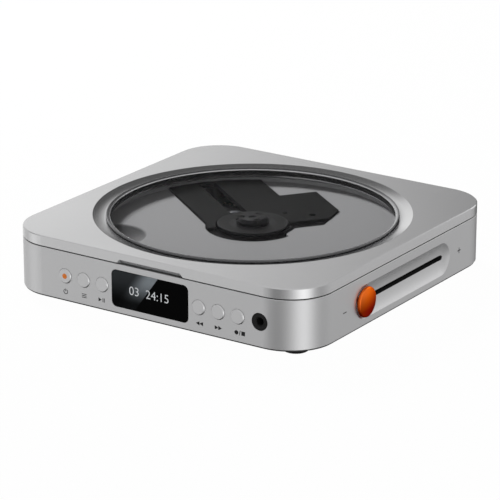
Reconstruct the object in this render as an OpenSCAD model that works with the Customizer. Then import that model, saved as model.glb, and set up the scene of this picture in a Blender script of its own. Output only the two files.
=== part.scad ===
// Flat square disc player with a hinged lid and a round window over the disc.
// The origin is the middle of the wall-screw pattern on the base's underside.
// +Z is up, -Y is the front with the display, +X is the side with the slider.

/* [Case] */
// Width of the case from side to side
case_w = 160; // [156:1:190]
// Depth of the case from front to back
case_d = 160; // [158:1:190]
// Radius of the four upright corners
corner_r = 20.9; // [16:0.1:24]
// Height of the lower case from its underside to its rim
case_h = 23.1; // [22.6:0.1:30]
// Thickness of the upright walls
wall = 2; // [1.6:0.1:2.4]
// Thickness of the base plate
base_t = 2; // [1.6:0.1:2.4]
// Height of the dark base line that shows under the walls
base_reveal = 0.6; // [0.3:0.1:1]
// How far the base line stands back from the walls
base_inset = 0.5; // [0.2:0.1:1]
// Small chamfer on the outer edges
edge_c = 0.4; // [0.2:0.1:0.8]
// Radius of a rubber foot
foot_r = 6; // [5:0.5:8]
// How far a rubber foot stands below the base
foot_h = 2.5; // [1.5:0.5:4]
// Distance of the feet and case screws from the side faces
corner_in = 13; // [12:0.5:15]

/* [Lid] */
// Thickness of the lid plate
lid_t = 4.8; // [4.4:0.1:6]
// Gap between the lid and the lower case
lid_gap = 0.4; // [0.3:0.1:0.8]
// Radius of the clear window
window_r = 66.4; // [66:0.1:68]
// Thickness of the clear window
window_t = 1.6; // [1.2:0.1:2]
// Width of the black seal under the window's rim
seal_w = 1.8; // [1.4:0.1:2.4]
// Thickness of the black seal
seal_t = 1.7; // [1:0.1:1.8]
// Width of the dished ring that falls towards the window
dish_w = 5.9; // [3:0.1:7]
// Depth of the dished ring at the window
dish_drop = 1.5; // [0.8:0.1:2]
// Length of the finger notch in the lid's front edge
notch_w = 37; // [20:1:60]
// Height of the finger notch on the front face
notch_h = 1.7; // [1:0.1:2.5]
// How far the finger notch runs in under the lid
notch_in = 1.5; // [1:0.1:2.5]

/* [Disc bay] */
// Radius of the disc bay
bay_r = 67.3; // [67:0.1:68.5]
// Depth of the disc bay below the rim
bay_depth = 1.8; // [1.4:0.1:2.4]
// Thickness of the tray
tray_t = 1.6; // [1.4:0.1:2]
// Radius of the thumb scoop at the bay floor
scoop_r = 16.2; // [12:0.1:18]
// Depth of the thumb scoop below the bay floor
scoop_depth = 3; // [1.5:0.1:3.6]
// Distance of the thumb scoop from the spindle
scoop_at = 64.6; // [60:0.1:68]

/* [Drive] */
// Direction in which the pickup travels out from the spindle
drive_angle = 143.4; // [135:0.1:150]
// Radius of the turntable
table_r = 16.2; // [14:0.1:17]
// Radius of the boss that centres a disc
boss_r = 7.4; // [7.2:0.05:7.45]
// Height of the cylindrical part of the boss
boss_h = 1.5; // [1.3:0.1:1.8]
// Radius of the spindle motor
motor_r = 12.2; // [10:0.1:12.5]
// Height of the spindle motor
motor_h = 8.6; // [7:0.1:9]
// Radius of the spindle shaft
shaft_r = 1; // [0.75:0.05:1.5]
// Distance of the lens from the spindle at the innermost track
lens_at = 24.5; // [24:0.1:26]
// Travel of the pickup
sled_travel = 33; // [30:1:34]
// Radius of the two guide rails
rail_r = 1.5; // [1:0.1:1.6]
// Distance of a guide rail from the pickup's centre line
rail_off = 15.5; // [15:0.1:16]
// Gear module of the rack and its pinion
rack_m = 0.9; // [0.8:0.05:1]
// Teeth on the rack's pinion
pinion_teeth = 14; // [13:1:15]
// Gear module of the motor's gear pair
feed_m = 0.6; // [0.5:0.05:0.62]
// Teeth on the large feed gear
gear_teeth = 30; // [26:1:30]
// Teeth on the motor's pinion
motor_teeth = 10; // [10:1:12]

/* [Front] */
// Height of the display, buttons and headphone socket above the underside
control_z = 11.9; // [11.5:0.1:12.5]
// Width of the display glass
display_w = 40.6; // [30:0.1:42]
// Height of the display glass
display_h = 16.9; // [12:0.1:17.4]
// Corner radius of the display glass
display_r = 2.4; // [1:0.1:4]
// Radius of a button
button_r = 3.4; // [2.8:0.1:3.8]
// How far a button stands proud
button_out = 0.5; // [0.3:0.1:1]
// Travel of a button
button_travel = 0.4; // [0.2:0.1:0.5]
// Gap between the display glass and the innermost buttons
button_gap = 2; // [1.9:0.1:4]
// Distance between neighbouring buttons
button_pitch = 10.1; // [9:0.1:10.6]
// Radius of the orange light in the power button
light_r = 1.2; // [0.8:0.1:1.6]
// Distance of the headphone socket from the right side
phones_in = 22.9; // [22:0.1:24]
// Radius of the plug hole in the sockets
plug_r = 1.8; // [1.8:0.05:1.85]
// Radius of the sockets' collars
collar_r = 3.85; // [3.2:0.05:4]

/* [Slider] */
// Height of the slider's centre line above the underside
slider_z = 11.2; // [10.6:0.1:12]
// Travel of the slider knob
slider_travel = 64.8; // [50:0.2:66]
// Half height of the recess round the slider
recess_r = 7.7; // [7.5:0.1:8.2]
// Depth of the recess
recess_depth = 2; // [1.5:0.1:2.2]
// Radius of the slider knob
knob_r = 6.9; // [5:0.1:7]
// Thickness of the knob's disc
knob_t = 1.9; // [1.5:0.1:2.2]
// How far the knob stands proud of the side face
knob_out = 1.6; // [1.2:0.1:2]
// Height of the slot that the slider's stem runs in
slot_h = 2.4; // [1.8:0.1:2.6]

/* [Wall mount] */
// Side of the square of wall screws
wall_screw_pitch = 75; // [75:1:75]
// Radius of the threaded holes for the wall screws
wall_screw_r = 1.7; // [1.65:0.05:1.8]
// Length of the threaded inserts
insert_h = 5.5; // [4:0.5:6]

/* [Hinge] */
// Distance of the hinge axis from the back face
hinge_in = 2.6; // [2.4:0.1:3]
// Radius of the hinge knuckles
knuckle_r = 2; // [1.8:0.1:2.2]
// Radius of the hinge pins
pin_r = 0.9; // [0.7:0.05:1]
// Distance of each hinge's centre from the middle
hinge_at = 45; // [40:1:50]
// Length of each hinge
hinge_l = 24; // [20:1:28]

/* [Hidden] */
$fn = 72;

fit = 0.05;     // running clearance round shafts and pins, per side
seat = 0.15;    // clearance round parts that drop into a pocket
air = 0.3;      // least gap between parts that pass each other
over = 1;       // extra length of cutting shapes

// Faces of the case
x_side = case_w / 2;
y_front = -case_d / 2;
y_back = case_d / 2;
z_rim = case_h;
z_lid = case_h + lid_gap;
z_top = z_lid + lid_t;

// Disc bay and tray
z_floor = z_rim - bay_depth;
floor_under = z_floor - tray_t;
tray_wall = 1.6;
z_shelf = z_rim - tray_t;
shelf_w = 3;
shelf_t = 1.5;
scoop_ball_r = (scoop_r * scoop_r + scoop_depth * scoop_depth) / (2 * scoop_depth);
scoop_angle = -135;
scoop_pad_r = scoop_r + 5;
scoop_front_in = 10;

// Window stack
hole_r = window_r + 0.1;
dish_r = hole_r + 0.1 + dish_w;
lip_r = window_r - seal_w + 0.6;
z_seal_top = z_top - window_t;
z_seal = z_seal_top - seal_t;

// Corner screws and feet
boss_x = x_side - corner_in;
boss_y = y_back - corner_in;
boss_pillar_r = 4.2;
web_t = 2.4;
screw_r = 1.25;
head_r = 2.3;
head_h = 1.2;
foot_sink = 0.4;

// Magnets and bumpers
magnet_r = 3;
magnet_x = x_side - 20;
magnet_y = y_front + 14;
lid_magnet_h = 1.5;
tray_magnet_h = 1.2;
bumper_r = 2;
bumper_sink = 0.4;
bumper_x = x_side - wall - 3 * bumper_r;
bumper_y = y_back - corner_in - 17;

// Hinge
y_hinge = y_back - hinge_in;
lid_opens = 80;
cove_r = hinge_in / cos(lid_opens / 2) + 0.35;
cove_half = x_side - corner_r + sqrt(corner_r * corner_r - pow(corner_r - hinge_in, 2)) + 0.4;
leaf_t = 1;
leaf_l = 12;
knuckle_third = hinge_l / 3;
hinge_pad_y = y_hinge - knuckle_r + leaf_t;
leaf_bottom = z_rim - 11;
leaf_screw_r = 0.9;
leaf_screw_x = hinge_l / 2 - 4;

// Drive
z_chassis = floor_under - 0.5;
chassis_t = 1.6;
chassis_under = z_chassis - chassis_t;
cover_gap = 0.6;
z_cover = z_floor + 0.8;
cover_step = 1.5;
cover_low_t = 0.8;
z_cover_low = z_cover - cover_step;
cover_under = z_cover_low - cover_low_t;
cover_arc_r = table_r + 4.8;
well_r = table_r + 0.8;
cover_left = 19;
cover_right = 26;
track_w = 8;
track_from = well_r + 1.4;
track_to = max(bay_r - 2.3, lens_at + sled_travel + 5.6);
z_table = z_rim;
table_t = 1.6;
table_hub_r = 4.5;
dome_h = 1.2;
claw_w = 2.6;
claw_out = 0.3;
rail_z = chassis_under - 2.8;
rail_from = 9.9;
rail_to = lens_at + sled_travel + 18.7;
lug_l = 3;
lug_half = 2.5;
bush_r = 2.4;
sled_in = lens_at - 10.5;
sled_out = lens_at + 14;
sled_half = 12;
sled_under = rail_z - 3.3;
sled_top = chassis_under + 0.3;
holder_gap = 0.9;
holder_t = 1.6;
lens_r = 2.5;
lens_t = 0.4;

// Rack and gears
rack_y = -(rail_off + 6);
pinion_pr = rack_m * pinion_teeth / 2;
gear_pr = feed_m * gear_teeth / 2;
motor_pr = feed_m * motor_teeth / 2;
gear_s = 38;
gear_y = rack_y - pinion_pr;
feed_angle = 215;
feed_s = gear_s + (gear_pr + motor_pr) * cos(feed_angle);
feed_y = gear_y + (gear_pr + motor_pr) * sin(feed_angle);
rack_h = 1.8;
rack_top = chassis_under - 0.4;
rack_under = rack_top - rack_h;
big_gear_t = 1.4;
big_gear_top = rack_under - 0.8;
plate_top = big_gear_top - big_gear_t - 0.6;
plate_t = 1.2;
gear_pin_r = 1;
feed_shaft_r = 0.75;
feed_motor_r = 8;
feed_motor_h = 6;

// Suspension points of the drive, in the drive's own axes
ears = [[50, 27], [8, 27], [54, -33], [-7, -42]];
ear_r = 5.4;
grommet_r = 4.2;
grommet_neck_r = 3;
post_r = 1.9;
post_end = chassis_under - 1.2;

// Front board, sockets and slider
module_t = 2.4;
module_w = display_w + 1.6;
button_first = display_w / 2 + button_r + button_gap;
board_t = 1.6;
z_board = base_t + 2;
board_top = z_board + board_t;
board_in = 18;
board_half = x_side - board_in;
board_front = y_front + 5;
board_middle = y_back - 50;
board_back = y_back - wall - 2;
stand_x = board_half - 6;
stand_ys = [board_front + 17, board_middle - 6];
board_y = y_front + scoop_front_in - air - 1.3;
control_board_t = 1.2;
switch_w = 4.5;
switch_t = 2.2;
flange_t = 0.7;
stem_r = 1.2;
button_back = y_front + wall + 2.8;
switch_tip = button_back + button_travel + 0.1;
phones_at = x_side - phones_in;
socket_l = 13;
socket_w = 7.6;
plug_l = 14;
line_x = -hinge_at + hinge_l / 2 + socket_w / 2 + 1.2;
line_z = board_top + 4.2;
usb_x = -x_side + 29;
usb_w = 9;
usb_h = 3.2;
usb_l = 7.4;
slider_half = slider_travel / 2;
pad_in = 2.6;
recess_ball_r = (recess_r * recess_r + recess_depth * recess_depth) / (2 * recess_depth);
recess_ball_x = x_side + recess_ball_r - recess_depth;
pad_x = x_side - wall - pad_in;
stem_half = slot_h / 2 - 0.1;
slot_half = slider_half + 3.6;
carriage_t = 1.8;
pot_w = 6.2;
pot_x = pad_x - air - carriage_t - air - pot_w;
pot_half = slot_half + 5;
pot_half_h = 4.5;
insert_r = 3.2;
insert_boss_r = 5;

// ---------------------------------------------------------------- helpers

// Flat rectangle with round corners, centred
module round_rect(w, d, r) {
    square([w - 2 * r, d], center = true);
    square([w, d - 2 * r], center = true);
    for (x = [-1, 1], y = [-1, 1])
        translate([x * (w / 2 - r), y * (d / 2 - r)]) circle(r);
}

// Upright block with round corners that stands on z = 0
module round_block(w, d, r, h) {
    linear_extrude(h) round_rect(w, d, r);
}

// One chamfered side profile, extruded along Y over the given length
module chamfered_bar(w, l, h, c_low, c_top) {
    rotate([90, 0, 0])
        translate([0, 0, -l / 2])
            linear_extrude(l)
                polygon([
                    [-w / 2, c_low], [-w / 2 + c_low, 0], [w / 2 - c_low, 0], [w / 2, c_low],
                    [w / 2, h - c_top], [w / 2 - c_top, h], [-w / 2 + c_top, h], [-w / 2, h - c_top]
                ]);
}

// Round-cornered block with chamfered lower and upper edges
module chamfered_block(w, d, r, h, c_low, c_top) {
    chamfered_bar(w, d - 2 * r, h, c_low, c_top);
    rotate([0, 0, 90]) chamfered_bar(d, w - 2 * r, h, c_low, c_top);
    for (x = [-1, 1], y = [-1, 1])
        translate([x * (w / 2 - r), y * (d / 2 - r), 0])
            rotate_extrude()
                polygon([[0, 0], [r - c_low, 0], [r, c_low], [r, h - c_top], [r - c_top, h], [0, h]]);
}

module corners_at(x, y) {
    for (i = [-1, 1], j = [-1, 1]) translate([i * x, j * y, 0]) children();
}

module mirrored_x(x) {
    for (i = [-1, 1]) translate([i * x, 0, 0]) children();
}

// Places things in the drive's own axes: +X is the pickup's way out
module in_drive() {
    rotate([0, 0, drive_angle]) children();
}

// Lies a shape made along +Z down so that +Z points to the front
module facing_front() {
    rotate([90, 0, 0]) children();
}

module facing_right() {
    rotate([0, 90, 0]) children();
}

module tube(r_out, r_in, h) {
    difference() {
        cylinder(r = r_out, h = h);
        translate([0, 0, -over]) cylinder(r = r_in, h = h + 2 * over);
    }
}

// Screw with a flat round head, whose underside is at z = 0; the shank hangs down
module screw(shank_r, shank_l, top_r, top_h) {
    difference() {
        cylinder(r = top_r, h = top_h);
        translate([0, 0, top_h * 0.45]) cylinder(r = top_r * 0.45, h = top_h, $fn = 6);
    }
    translate([0, 0, -shank_l]) cylinder(r = shank_r, h = shank_l);
}

// Involute of a circle of radius rb at roll angle a, in degrees
function involute(rb, a) = [
    rb * (cos(a) + a * PI / 180 * sin(a)),
    rb * (sin(a) - a * PI / 180 * cos(a))
];
function roll_at(rb, r) = r <= rb ? 0 : sqrt(r * r / (rb * rb) - 1) * 180 / PI;
function turn(p, a) = [p[0] * cos(a) - p[1] * sin(a), p[0] * sin(a) + p[1] * cos(a)];
function flip(p) = [p[0], -p[1]];

// Spur gear outline with its first tooth on +X; play thins each flank
module gear_outline(m, teeth, play) {
    pr = m * teeth / 2;
    rb = pr * cos(20);
    tip = pr + 0.8 * m;
    root = pr - 1.15 * m;
    steps = 5;
    roll_p = roll_at(rb, pr);
    inv_p = tan(acos(rb / pr)) * 180 / PI - acos(rb / pr);
    half = 90 / teeth + inv_p - play / pr * 180 / PI;
    roll_tip = roll_at(rb, tip);
    flank = [for (i = [0:steps]) turn(flip(involute(rb, roll_tip * i / steps)), half)];
    points = [
        for (t = [0:teeth - 1])
            let (side = [for (p = flank) p], back = [for (i = [steps:-1:0]) flip(flank[i])])
                each [for (p = concat(
                        [turn([root, 0], -half - 90 / teeth * 0.25)],
                        [for (i = [0:steps]) flip(flank[i])],
                        [for (i = [steps:-1:0]) flank[i]],
                        [turn([root, 0], half + 90 / teeth * 0.25)]
                    )) turn(p, 360 / teeth * t)]
    ];
    polygon(points);
}

// ---------------------------------------------------------------- case

module base_cover() {
    plug_w = case_w - 2 * wall - 2 * seat;
    plug_d = case_d - 2 * wall - 2 * seat;
    color("dimgray") difference() {
        union() {
            round_block(case_w - 2 * base_inset, case_d - 2 * base_inset, corner_r - base_inset, base_reveal);
            round_block(plug_w, plug_d, corner_r - wall - seat, base_t);
            corners_at(wall_screw_pitch / 2, wall_screw_pitch / 2)
                cylinder(r = insert_boss_r, h = insert_h + 1);
            board_stands(2.6, z_board);
        }
        corners_at(boss_x, boss_y) {
            translate([0, 0, -over]) cylinder(r = foot_r + seat, h = foot_sink + over);
            translate([0, 0, -over]) cylinder(r = head_r + seat, h = foot_sink + head_h + over);
            cylinder(r = screw_r + seat, h = base_t + over);
        }
        corners_at(wall_screw_pitch / 2, wall_screw_pitch / 2)
            translate([0, 0, -over]) cylinder(r = insert_r + 0.02, h = insert_h + over);
        translate([0, 0, base_t - 0.6]) board_stands(1, z_board);
    }
}

// Round stands or holes at the four fixings of the main board
module board_stands(r, h) {
    for (x = [-1, 1], y = stand_ys) translate([x * stand_x, y, 0]) cylinder(r = r, h = h);
}

module rubber_feet() {
    color("black") corners_at(boss_x, boss_y)
        translate([0, 0, -foot_h])
            rotate_extrude()
                polygon([
                    [0, 0], [foot_r - 0.6, 0], [foot_r, 0.6],
                    [foot_r, foot_h + foot_sink], [0, foot_h + foot_sink]
                ]);
}

module base_screws() {
    color("silver") corners_at(boss_x, boss_y)
        translate([0, 0, foot_sink + head_h]) mirror([0, 0, 1]) screw(screw_r, 8, head_r, head_h);
}

module wall_inserts() {
    color("goldenrod") corners_at(wall_screw_pitch / 2, wall_screw_pitch / 2)
        difference() {
            union() {
                cylinder(r = insert_r, h = insert_h * 0.4);
                translate([0, 0, insert_h * 0.4]) cylinder(r = insert_r - 0.3, h = insert_h * 0.2);
                translate([0, 0, insert_h * 0.6]) cylinder(r = insert_r, h = insert_h * 0.4);
            }
            translate([0, 0, -over]) cylinder(r = wall_screw_r, h = insert_h + 2 * over);
        }
}

// Pillars for the corner screws, each with a web to its corner
module corner_pillars() {
    intersection() {
        corners_at(boss_x, boss_y) cylinder(r = boss_pillar_r, h = z_shelf - base_t);
        round_block(case_w - wall, case_d - wall, corner_r - wall / 2, z_shelf - base_t);
    }
    intersection() {
        for (i = [-1, 1], j = [-1, 1])
            translate([i * boss_x, j * boss_y, 0]) rotate([0, 0, atan2(j, i)])
                translate([0, -web_t / 2, 0]) cube([1.5 * corner_in, web_t, z_shelf - base_t]);
        round_block(case_w - wall, case_d - wall, corner_r - wall / 2, z_shelf - base_t);
    }
}

// The space that the lid's back edge turns in
module hinge_cove() {
    translate([-cove_half, y_hinge, z_lid]) facing_right() cylinder(r = cove_r, h = 2 * cove_half);
}

// Room in the back wall and tray for the fixed hinge leaves
module hinge_leaf_room() {
    mirrored_x(hinge_at)
        translate([-hinge_l / 2 - air, y_hinge - knuckle_r - air, leaf_bottom - air])
            cube([hinge_l + 2 * air, leaf_t + air, z_rim]);
}

module slider_recess() {
    translate([recess_ball_x, 0, slider_z]) {
        rotate([90, 0, 0]) translate([0, 0, -slider_half])
            cylinder(r = recess_ball_r, h = slider_travel, $fn = 200);
        for (y = [-1, 1]) translate([0, y * slider_half, 0]) sphere(r = recess_ball_r, $fn = 120);
    }
}

// Flat bar with round ends along Y, standing on x = 0 and reaching to +X
module slot_bar(half, r, h) {
    translate([0, -half + r, -r]) cube([h, 2 * (half - r), 2 * r]);
    for (y = [-1, 1]) translate([0, y * (half - r), 0]) facing_right() cylinder(r = r, h = h);
}

module button_places() {
    for (side = [-1, 1], i = [0:2])
        translate([side * (button_first + i * button_pitch), y_front, control_z]) children();
}

module body_shell() {
    shell_h = case_h - base_reveal;
    color("silver") difference() {
        union() {
            difference() {
                translate([0, 0, base_reveal]) chamfered_block(case_w, case_d, corner_r, shell_h, 0.2, 0.2);
                translate([0, 0, -over])
                    round_block(case_w - 2 * wall, case_d - 2 * wall, corner_r - wall, case_h + 2 * over);
            }
            translate([0, 0, z_shelf - shelf_t]) difference() {
                round_block(case_w - wall, case_d - wall, corner_r - wall / 2, shelf_t);
                translate([0, 0, -over])
                    round_block(case_w - 2 * wall - 2 * shelf_w, case_d - 2 * wall - 2 * shelf_w,
                        corner_r - wall - shelf_w, shelf_t + 2 * over);
            }
            translate([0, 0, base_t]) corner_pillars();
            translate([-cove_half - 1, y_hinge - cove_r - 1, z_lid - cove_r - 1])
                cube([2 * cove_half + 2, hinge_in - wall / 2 + cove_r + 1, z_shelf - z_lid + cove_r + 1]);
            translate([pad_x, -slot_half - 8, slider_z - recess_r - 0.6])
                cube([pad_in + 0.5, 2 * slot_half + 16, 2 * recess_r + 1.2]);
            mirrored_x(hinge_at)
                translate([-hinge_l / 2, hinge_pad_y, leaf_bottom])
                    cube([hinge_l, y_back - wall / 2 - hinge_pad_y, z_shelf - shelf_t - leaf_bottom]);
        }
        // display, buttons and headphone socket
        translate([0, y_front + wall + over, control_z]) facing_front()
            round_block(display_w + 2 * seat, display_h + 2 * seat, display_r + seat, wall + 2 * over);
        translate([-module_w / 2 - air, y_front + wall, z_shelf - shelf_t - over])
            cube([module_w + 2 * air, shelf_w + over, shelf_t + 2 * over]);
        button_places() translate([0, wall + over, 0]) facing_front()
            cylinder(r = button_r + 0.1, h = wall + 2 * over);
        translate([phones_at, y_front + wall + over, control_z]) facing_front()
            cylinder(r = collar_r + seat, h = wall + 2 * over);
        // slider recess and slot
        slider_recess();
        translate([pad_x - over, 0, slider_z]) slot_bar(slot_half, slot_h / 2, wall + pad_in + 2 * over);
        // rear sockets
        translate([line_x, y_back + over, line_z]) facing_front()
            cylinder(r = collar_r + seat, h = wall + 2 * over);
        translate([usb_x, y_back + over, board_top + usb_h / 2]) facing_front()
            round_block(usb_w + 0.4, usb_h + 0.4, usb_h / 2, wall + 2 * over);
        // hinge
        hinge_cove();
        hinge_leaf_room();
        mirrored_x(hinge_at) mirrored_x(leaf_screw_x)
            translate([0, hinge_pad_y - over, leaf_bottom + 3]) rotate([-90, 0, 0])
                cylinder(r = leaf_screw_r + fit, h = 2.4 + over);
        // screw holes in the pillars
        corners_at(boss_x, boss_y) {
            translate([0, 0, base_t - over]) cylinder(r = screw_r + fit, h = 9 + over);
            translate([0, 0, z_shelf - 6]) cylinder(r = screw_r + fit, h = 6 + over);
        }
    }
}

// ---------------------------------------------------------------- disc tray

// Outline of the drive cover; grow moves every edge out by that much
module cover_outline(grow) {
    g = grow;
    intersection() {
        circle(bay_r - 0.3 + g);
        union() {
            difference() {
                circle(cover_arc_r + g, $fn = 120);
                translate([-60 - 8.7 - g, -60 - 10 - g]) square(60);
            }
            polygon([
                [2 * bay_r, cover_left + g], [0, cover_left + g], [0, 0],
                [-14.6 - g, -10 - g], [-8.7 - g, -16.6 - g],
                [-8.7 - g, -30.8 - 0.4 * g], [6.4 - 0.4 * g, -44.3 - g], [35.6 + g, -44.3 - g],
                [35.6 + g, -cover_right - g], [2 * bay_r, -cover_right - g]
            ]);
        }
    }
}

module scoop_place() {
    rotate([0, 0, scoop_angle]) translate([scoop_at, 0, 0]) children();
}

module tray_outline() {
    round_rect(case_w - 2 * wall - 2 * seat, case_d - 2 * wall - 2 * seat, corner_r - wall - seat);
}

module disc_tray() {
    color("gainsboro") difference() {
        union() {
            difference() {
                translate([0, 0, z_shelf]) linear_extrude(tray_t) tray_outline();
                translate([0, 0, z_shelf - over]) cylinder(r = bay_r, h = tray_t + 2 * over, $fn = 200);
            }
            translate([0, 0, floor_under]) cylinder(r = bay_r + tray_wall, h = tray_t, $fn = 200);
            translate([0, 0, floor_under])
                difference() {
                    cylinder(r = bay_r + tray_wall, h = z_shelf - floor_under + 0.5, $fn = 200);
                    translate([0, 0, -over])
                        cylinder(r = bay_r, h = bay_depth + tray_t + 2 * over, $fn = 200);
                }
            intersection() {
                scoop_place() translate([0, 0, z_floor - scoop_depth - tray_t])
                    cylinder(r = scoop_pad_r, h = scoop_depth + tray_t + bay_depth);
                linear_extrude(z_rim)
                    round_rect(case_w - 2 * wall - 2 * shelf_w - 1, case_d - 2 * scoop_front_in,
                        corner_r - wall - shelf_w - 0.5);
                union() {
                    cylinder(r = bay_r + tray_wall, h = z_floor, $fn = 200);
                    difference() {
                        cylinder(r = 2 * bay_r, h = z_rim);
                        cylinder(r = bay_r + 0.5, h = z_rim + over, $fn = 200);
                    }
                }
            }
            in_drive() for (e = ears)
                translate([e[0], e[1], post_end]) cylinder(r = post_r, h = floor_under - post_end + 0.5);
        }
        // opening for the drive
        in_drive() translate([0, 0, floor_under - over]) linear_extrude(tray_t + bay_depth)
            cover_outline(cover_gap);
        // thumb scoop
        scoop_place() translate([0, 0, z_floor - scoop_depth + scoop_ball_r])
            sphere(r = scoop_ball_r, $fn = 160);
        // holes for the drive's and the tray's screws
        in_drive() for (e = ears)
            translate([e[0], e[1], post_end - over]) cylinder(r = 1 + fit, h = 3 + over);
        corners_at(boss_x, boss_y) {
            translate([0, 0, z_shelf - over]) cylinder(r = screw_r + seat, h = tray_t + 2 * over);
            translate([0, 0, z_rim - head_h]) cylinder(r = head_r + seat, h = head_h + over);
        }
        // magnets, bumpers and hinges
        mirrored_x(magnet_x) translate([0, magnet_y, z_rim - tray_magnet_h])
            cylinder(r = magnet_r + fit, h = tray_magnet_h + over);
        corners_at(bumper_x, bumper_y) translate([0, 0, z_rim - bumper_sink])
            cylinder(r = bumper_r + fit, h = bumper_sink + over);
        hinge_cove();
        hinge_leaf_room();
    }
}

module tray_screws() {
    color("silver") corners_at(boss_x, boss_y)
        translate([0, 0, z_rim - head_h]) screw(screw_r, 5, head_r, head_h - 0.1);
}

module tray_magnets() {
    color("lightgray") mirrored_x(magnet_x)
        translate([0, magnet_y, z_rim - tray_magnet_h]) cylinder(r = magnet_r, h = tray_magnet_h);
}

module lid_bumpers() {
    color("black") corners_at(bumper_x, bumper_y)
        translate([0, 0, z_rim - bumper_sink]) cylinder(r = bumper_r, h = bumper_sink + lid_gap);
}

// ---------------------------------------------------------------- lid

module dish_cut() {
    steps = 8;
    translate([0, 0, z_top])
        rotate_extrude($fn = 200)
            polygon(concat(
                [[0, over], [dish_r, over]],
                [for (i = [0:steps]) [dish_r - (dish_r - hole_r - 0.1) * i / steps,
                    -dish_drop * (1 - pow(1 - i / steps, 1.6))]],
                [[0, -dish_drop]]
            ));
}

// Wedge cut out of the lid's lower front edge, with sloping ends
module notch_cut() {
    slope = 2.5;
    hull() {
        translate([0, y_front - 0.5, z_lid - 0.2])
            cube([notch_w, 0.2, 0.1], center = true);
        translate([0, y_front - 0.5, z_lid + notch_h * (1 + 0.5 / notch_in)])
            cube([notch_w - 2 * slope, 0.2, 0.1], center = true);
        translate([0, y_front + notch_in, z_lid - 0.2])
            cube([notch_w - 2 * slope, 0.1, 0.2], center = true);
    }
}

module lid_frame() {
    color("silver") difference() {
        translate([0, 0, z_lid]) chamfered_block(case_w, case_d, corner_r, lid_t, 0.2, edge_c);
        dish_cut();
        translate([0, 0, z_seal]) cylinder(r = hole_r, h = lid_t, $fn = 200);
        translate([0, 0, z_lid - over]) cylinder(r = lip_r, h = lid_t + 2 * over, $fn = 200);
        translate([0, 0, z_lid - over]) cylinder(r = bay_r, h = z_seal - 0.7 - z_lid + over, $fn = 200);
        notch_cut();
        mirrored_x(magnet_x) translate([0, magnet_y, z_lid - over])
            cylinder(r = magnet_r + fit, h = lid_magnet_h + over);
        // pockets for the hinge knuckles and the moving leaves
        mirrored_x(hinge_at) {
            translate([-hinge_l / 2 - air, y_hinge - knuckle_r - air, z_lid - over])
                cube([hinge_l + 2 * air, hinge_in + knuckle_r + 2 * over, knuckle_r + 0.4 + over]);
            translate([-hinge_l / 2 + 1 - seat, y_hinge - leaf_l - seat, z_lid - over])
                cube([hinge_l - 2 + 2 * seat, leaf_l, leaf_t + over]);
            mirrored_x(leaf_screw_x) translate([0, y_hinge - leaf_l + 4, z_lid - over])
                cylinder(r = leaf_screw_r + fit, h = leaf_t + 2.6 + over);
        }
    }
}

module lid_window() {
    color([0.85, 0.9, 0.92, 0.3]) translate([0, 0, z_seal_top])
        rotate_extrude($fn = 200)
            polygon([
                [0, 0], [window_r, 0], [window_r, window_t - 0.5], [window_r - 0.15, window_t - 0.18],
                [window_r - 0.5, window_t], [0, window_t]
            ]);
}

module window_seal() {
    color("black") translate([0, 0, z_seal]) tube(window_r, window_r - seal_w, seal_t, $fn = 200);
}

module lid_magnets() {
    color("lightgray") mirrored_x(magnet_x)
        translate([0, magnet_y, z_lid]) cylinder(r = magnet_r, h = lid_magnet_h);
}

// Hinge knuckle of length l along X, centred, with its bore
module knuckle(l, bore) {
    difference() {
        translate([-l / 2, 0, 0]) facing_right() cylinder(r = knuckle_r, h = l);
        translate([-l / 2 - over, 0, 0]) facing_right() cylinder(r = bore, h = l + 2 * over);
    }
}

module lid_hinge_leaves() {
    mid = knuckle_third - 0.2;
    color("slategray") mirrored_x(hinge_at) translate([0, y_hinge, z_lid]) {
        knuckle(mid, pin_r + fit);
        difference() {
            union() {
                translate([-mid / 2, -leaf_l, 0]) cube([mid, leaf_l - pin_r - 0.4, leaf_t]);
                translate([-hinge_l / 2 + 1, -leaf_l, 0]) cube([hinge_l - 2, leaf_l - knuckle_r - 1, leaf_t]);
            }
            mirrored_x(leaf_screw_x) translate([0, 4 - leaf_l, -over])
                cylinder(r = leaf_screw_r + fit, h = leaf_t + 2 * over);
            mirrored_x(leaf_screw_x) translate([0, 4 - leaf_l, -over])
                cylinder(r = leaf_screw_r + 0.9, h = 0.5 + over);
        }
    }
}

module body_hinge_leaves() {
    color("slategray") mirrored_x(hinge_at) translate([0, y_hinge, 0]) {
        for (x = [-1, 1]) translate([x * knuckle_third, 0, z_lid]) knuckle(knuckle_third - 0.1, pin_r + 0.02);
        difference() {
            union() {
                translate([-hinge_l / 2, -knuckle_r, leaf_bottom])
                    cube([hinge_l, leaf_t, z_lid - knuckle_r - 0.3 - leaf_bottom]);
                for (x = [-1, 1])
                    translate([x * knuckle_third - (knuckle_third - 0.1) / 2, -knuckle_r, leaf_bottom])
                        cube([knuckle_third - 0.1, leaf_t, z_lid - leaf_bottom]);
            }
            for (x = [-1, 1])
                translate([x * leaf_screw_x, -knuckle_r - over, leaf_bottom + 3]) rotate([-90, 0, 0])
                    cylinder(r = leaf_screw_r + fit, h = leaf_t + 2 * over);
        }
    }
}

module hinge_pins() {
    color("silver") mirrored_x(hinge_at)
        translate([-hinge_l / 2, y_hinge, z_lid]) facing_right() cylinder(r = pin_r, h = hinge_l);
}

module hinge_screws() {
    color("silver") mirrored_x(hinge_at) mirrored_x(leaf_screw_x)
        translate([0, y_hinge - knuckle_r, leaf_bottom + 3]) rotate([90, 0, 0])
            screw(leaf_screw_r, leaf_t + 2.2, leaf_screw_r + 0.8, 0.7);
}

// ---------------------------------------------------------------- front

module display_glass() {
    color([0.03, 0.03, 0.04]) translate([0, y_front + wall, control_z]) facing_front()
        round_block(display_w, display_h, display_r, wall - 0.05);
}

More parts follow.
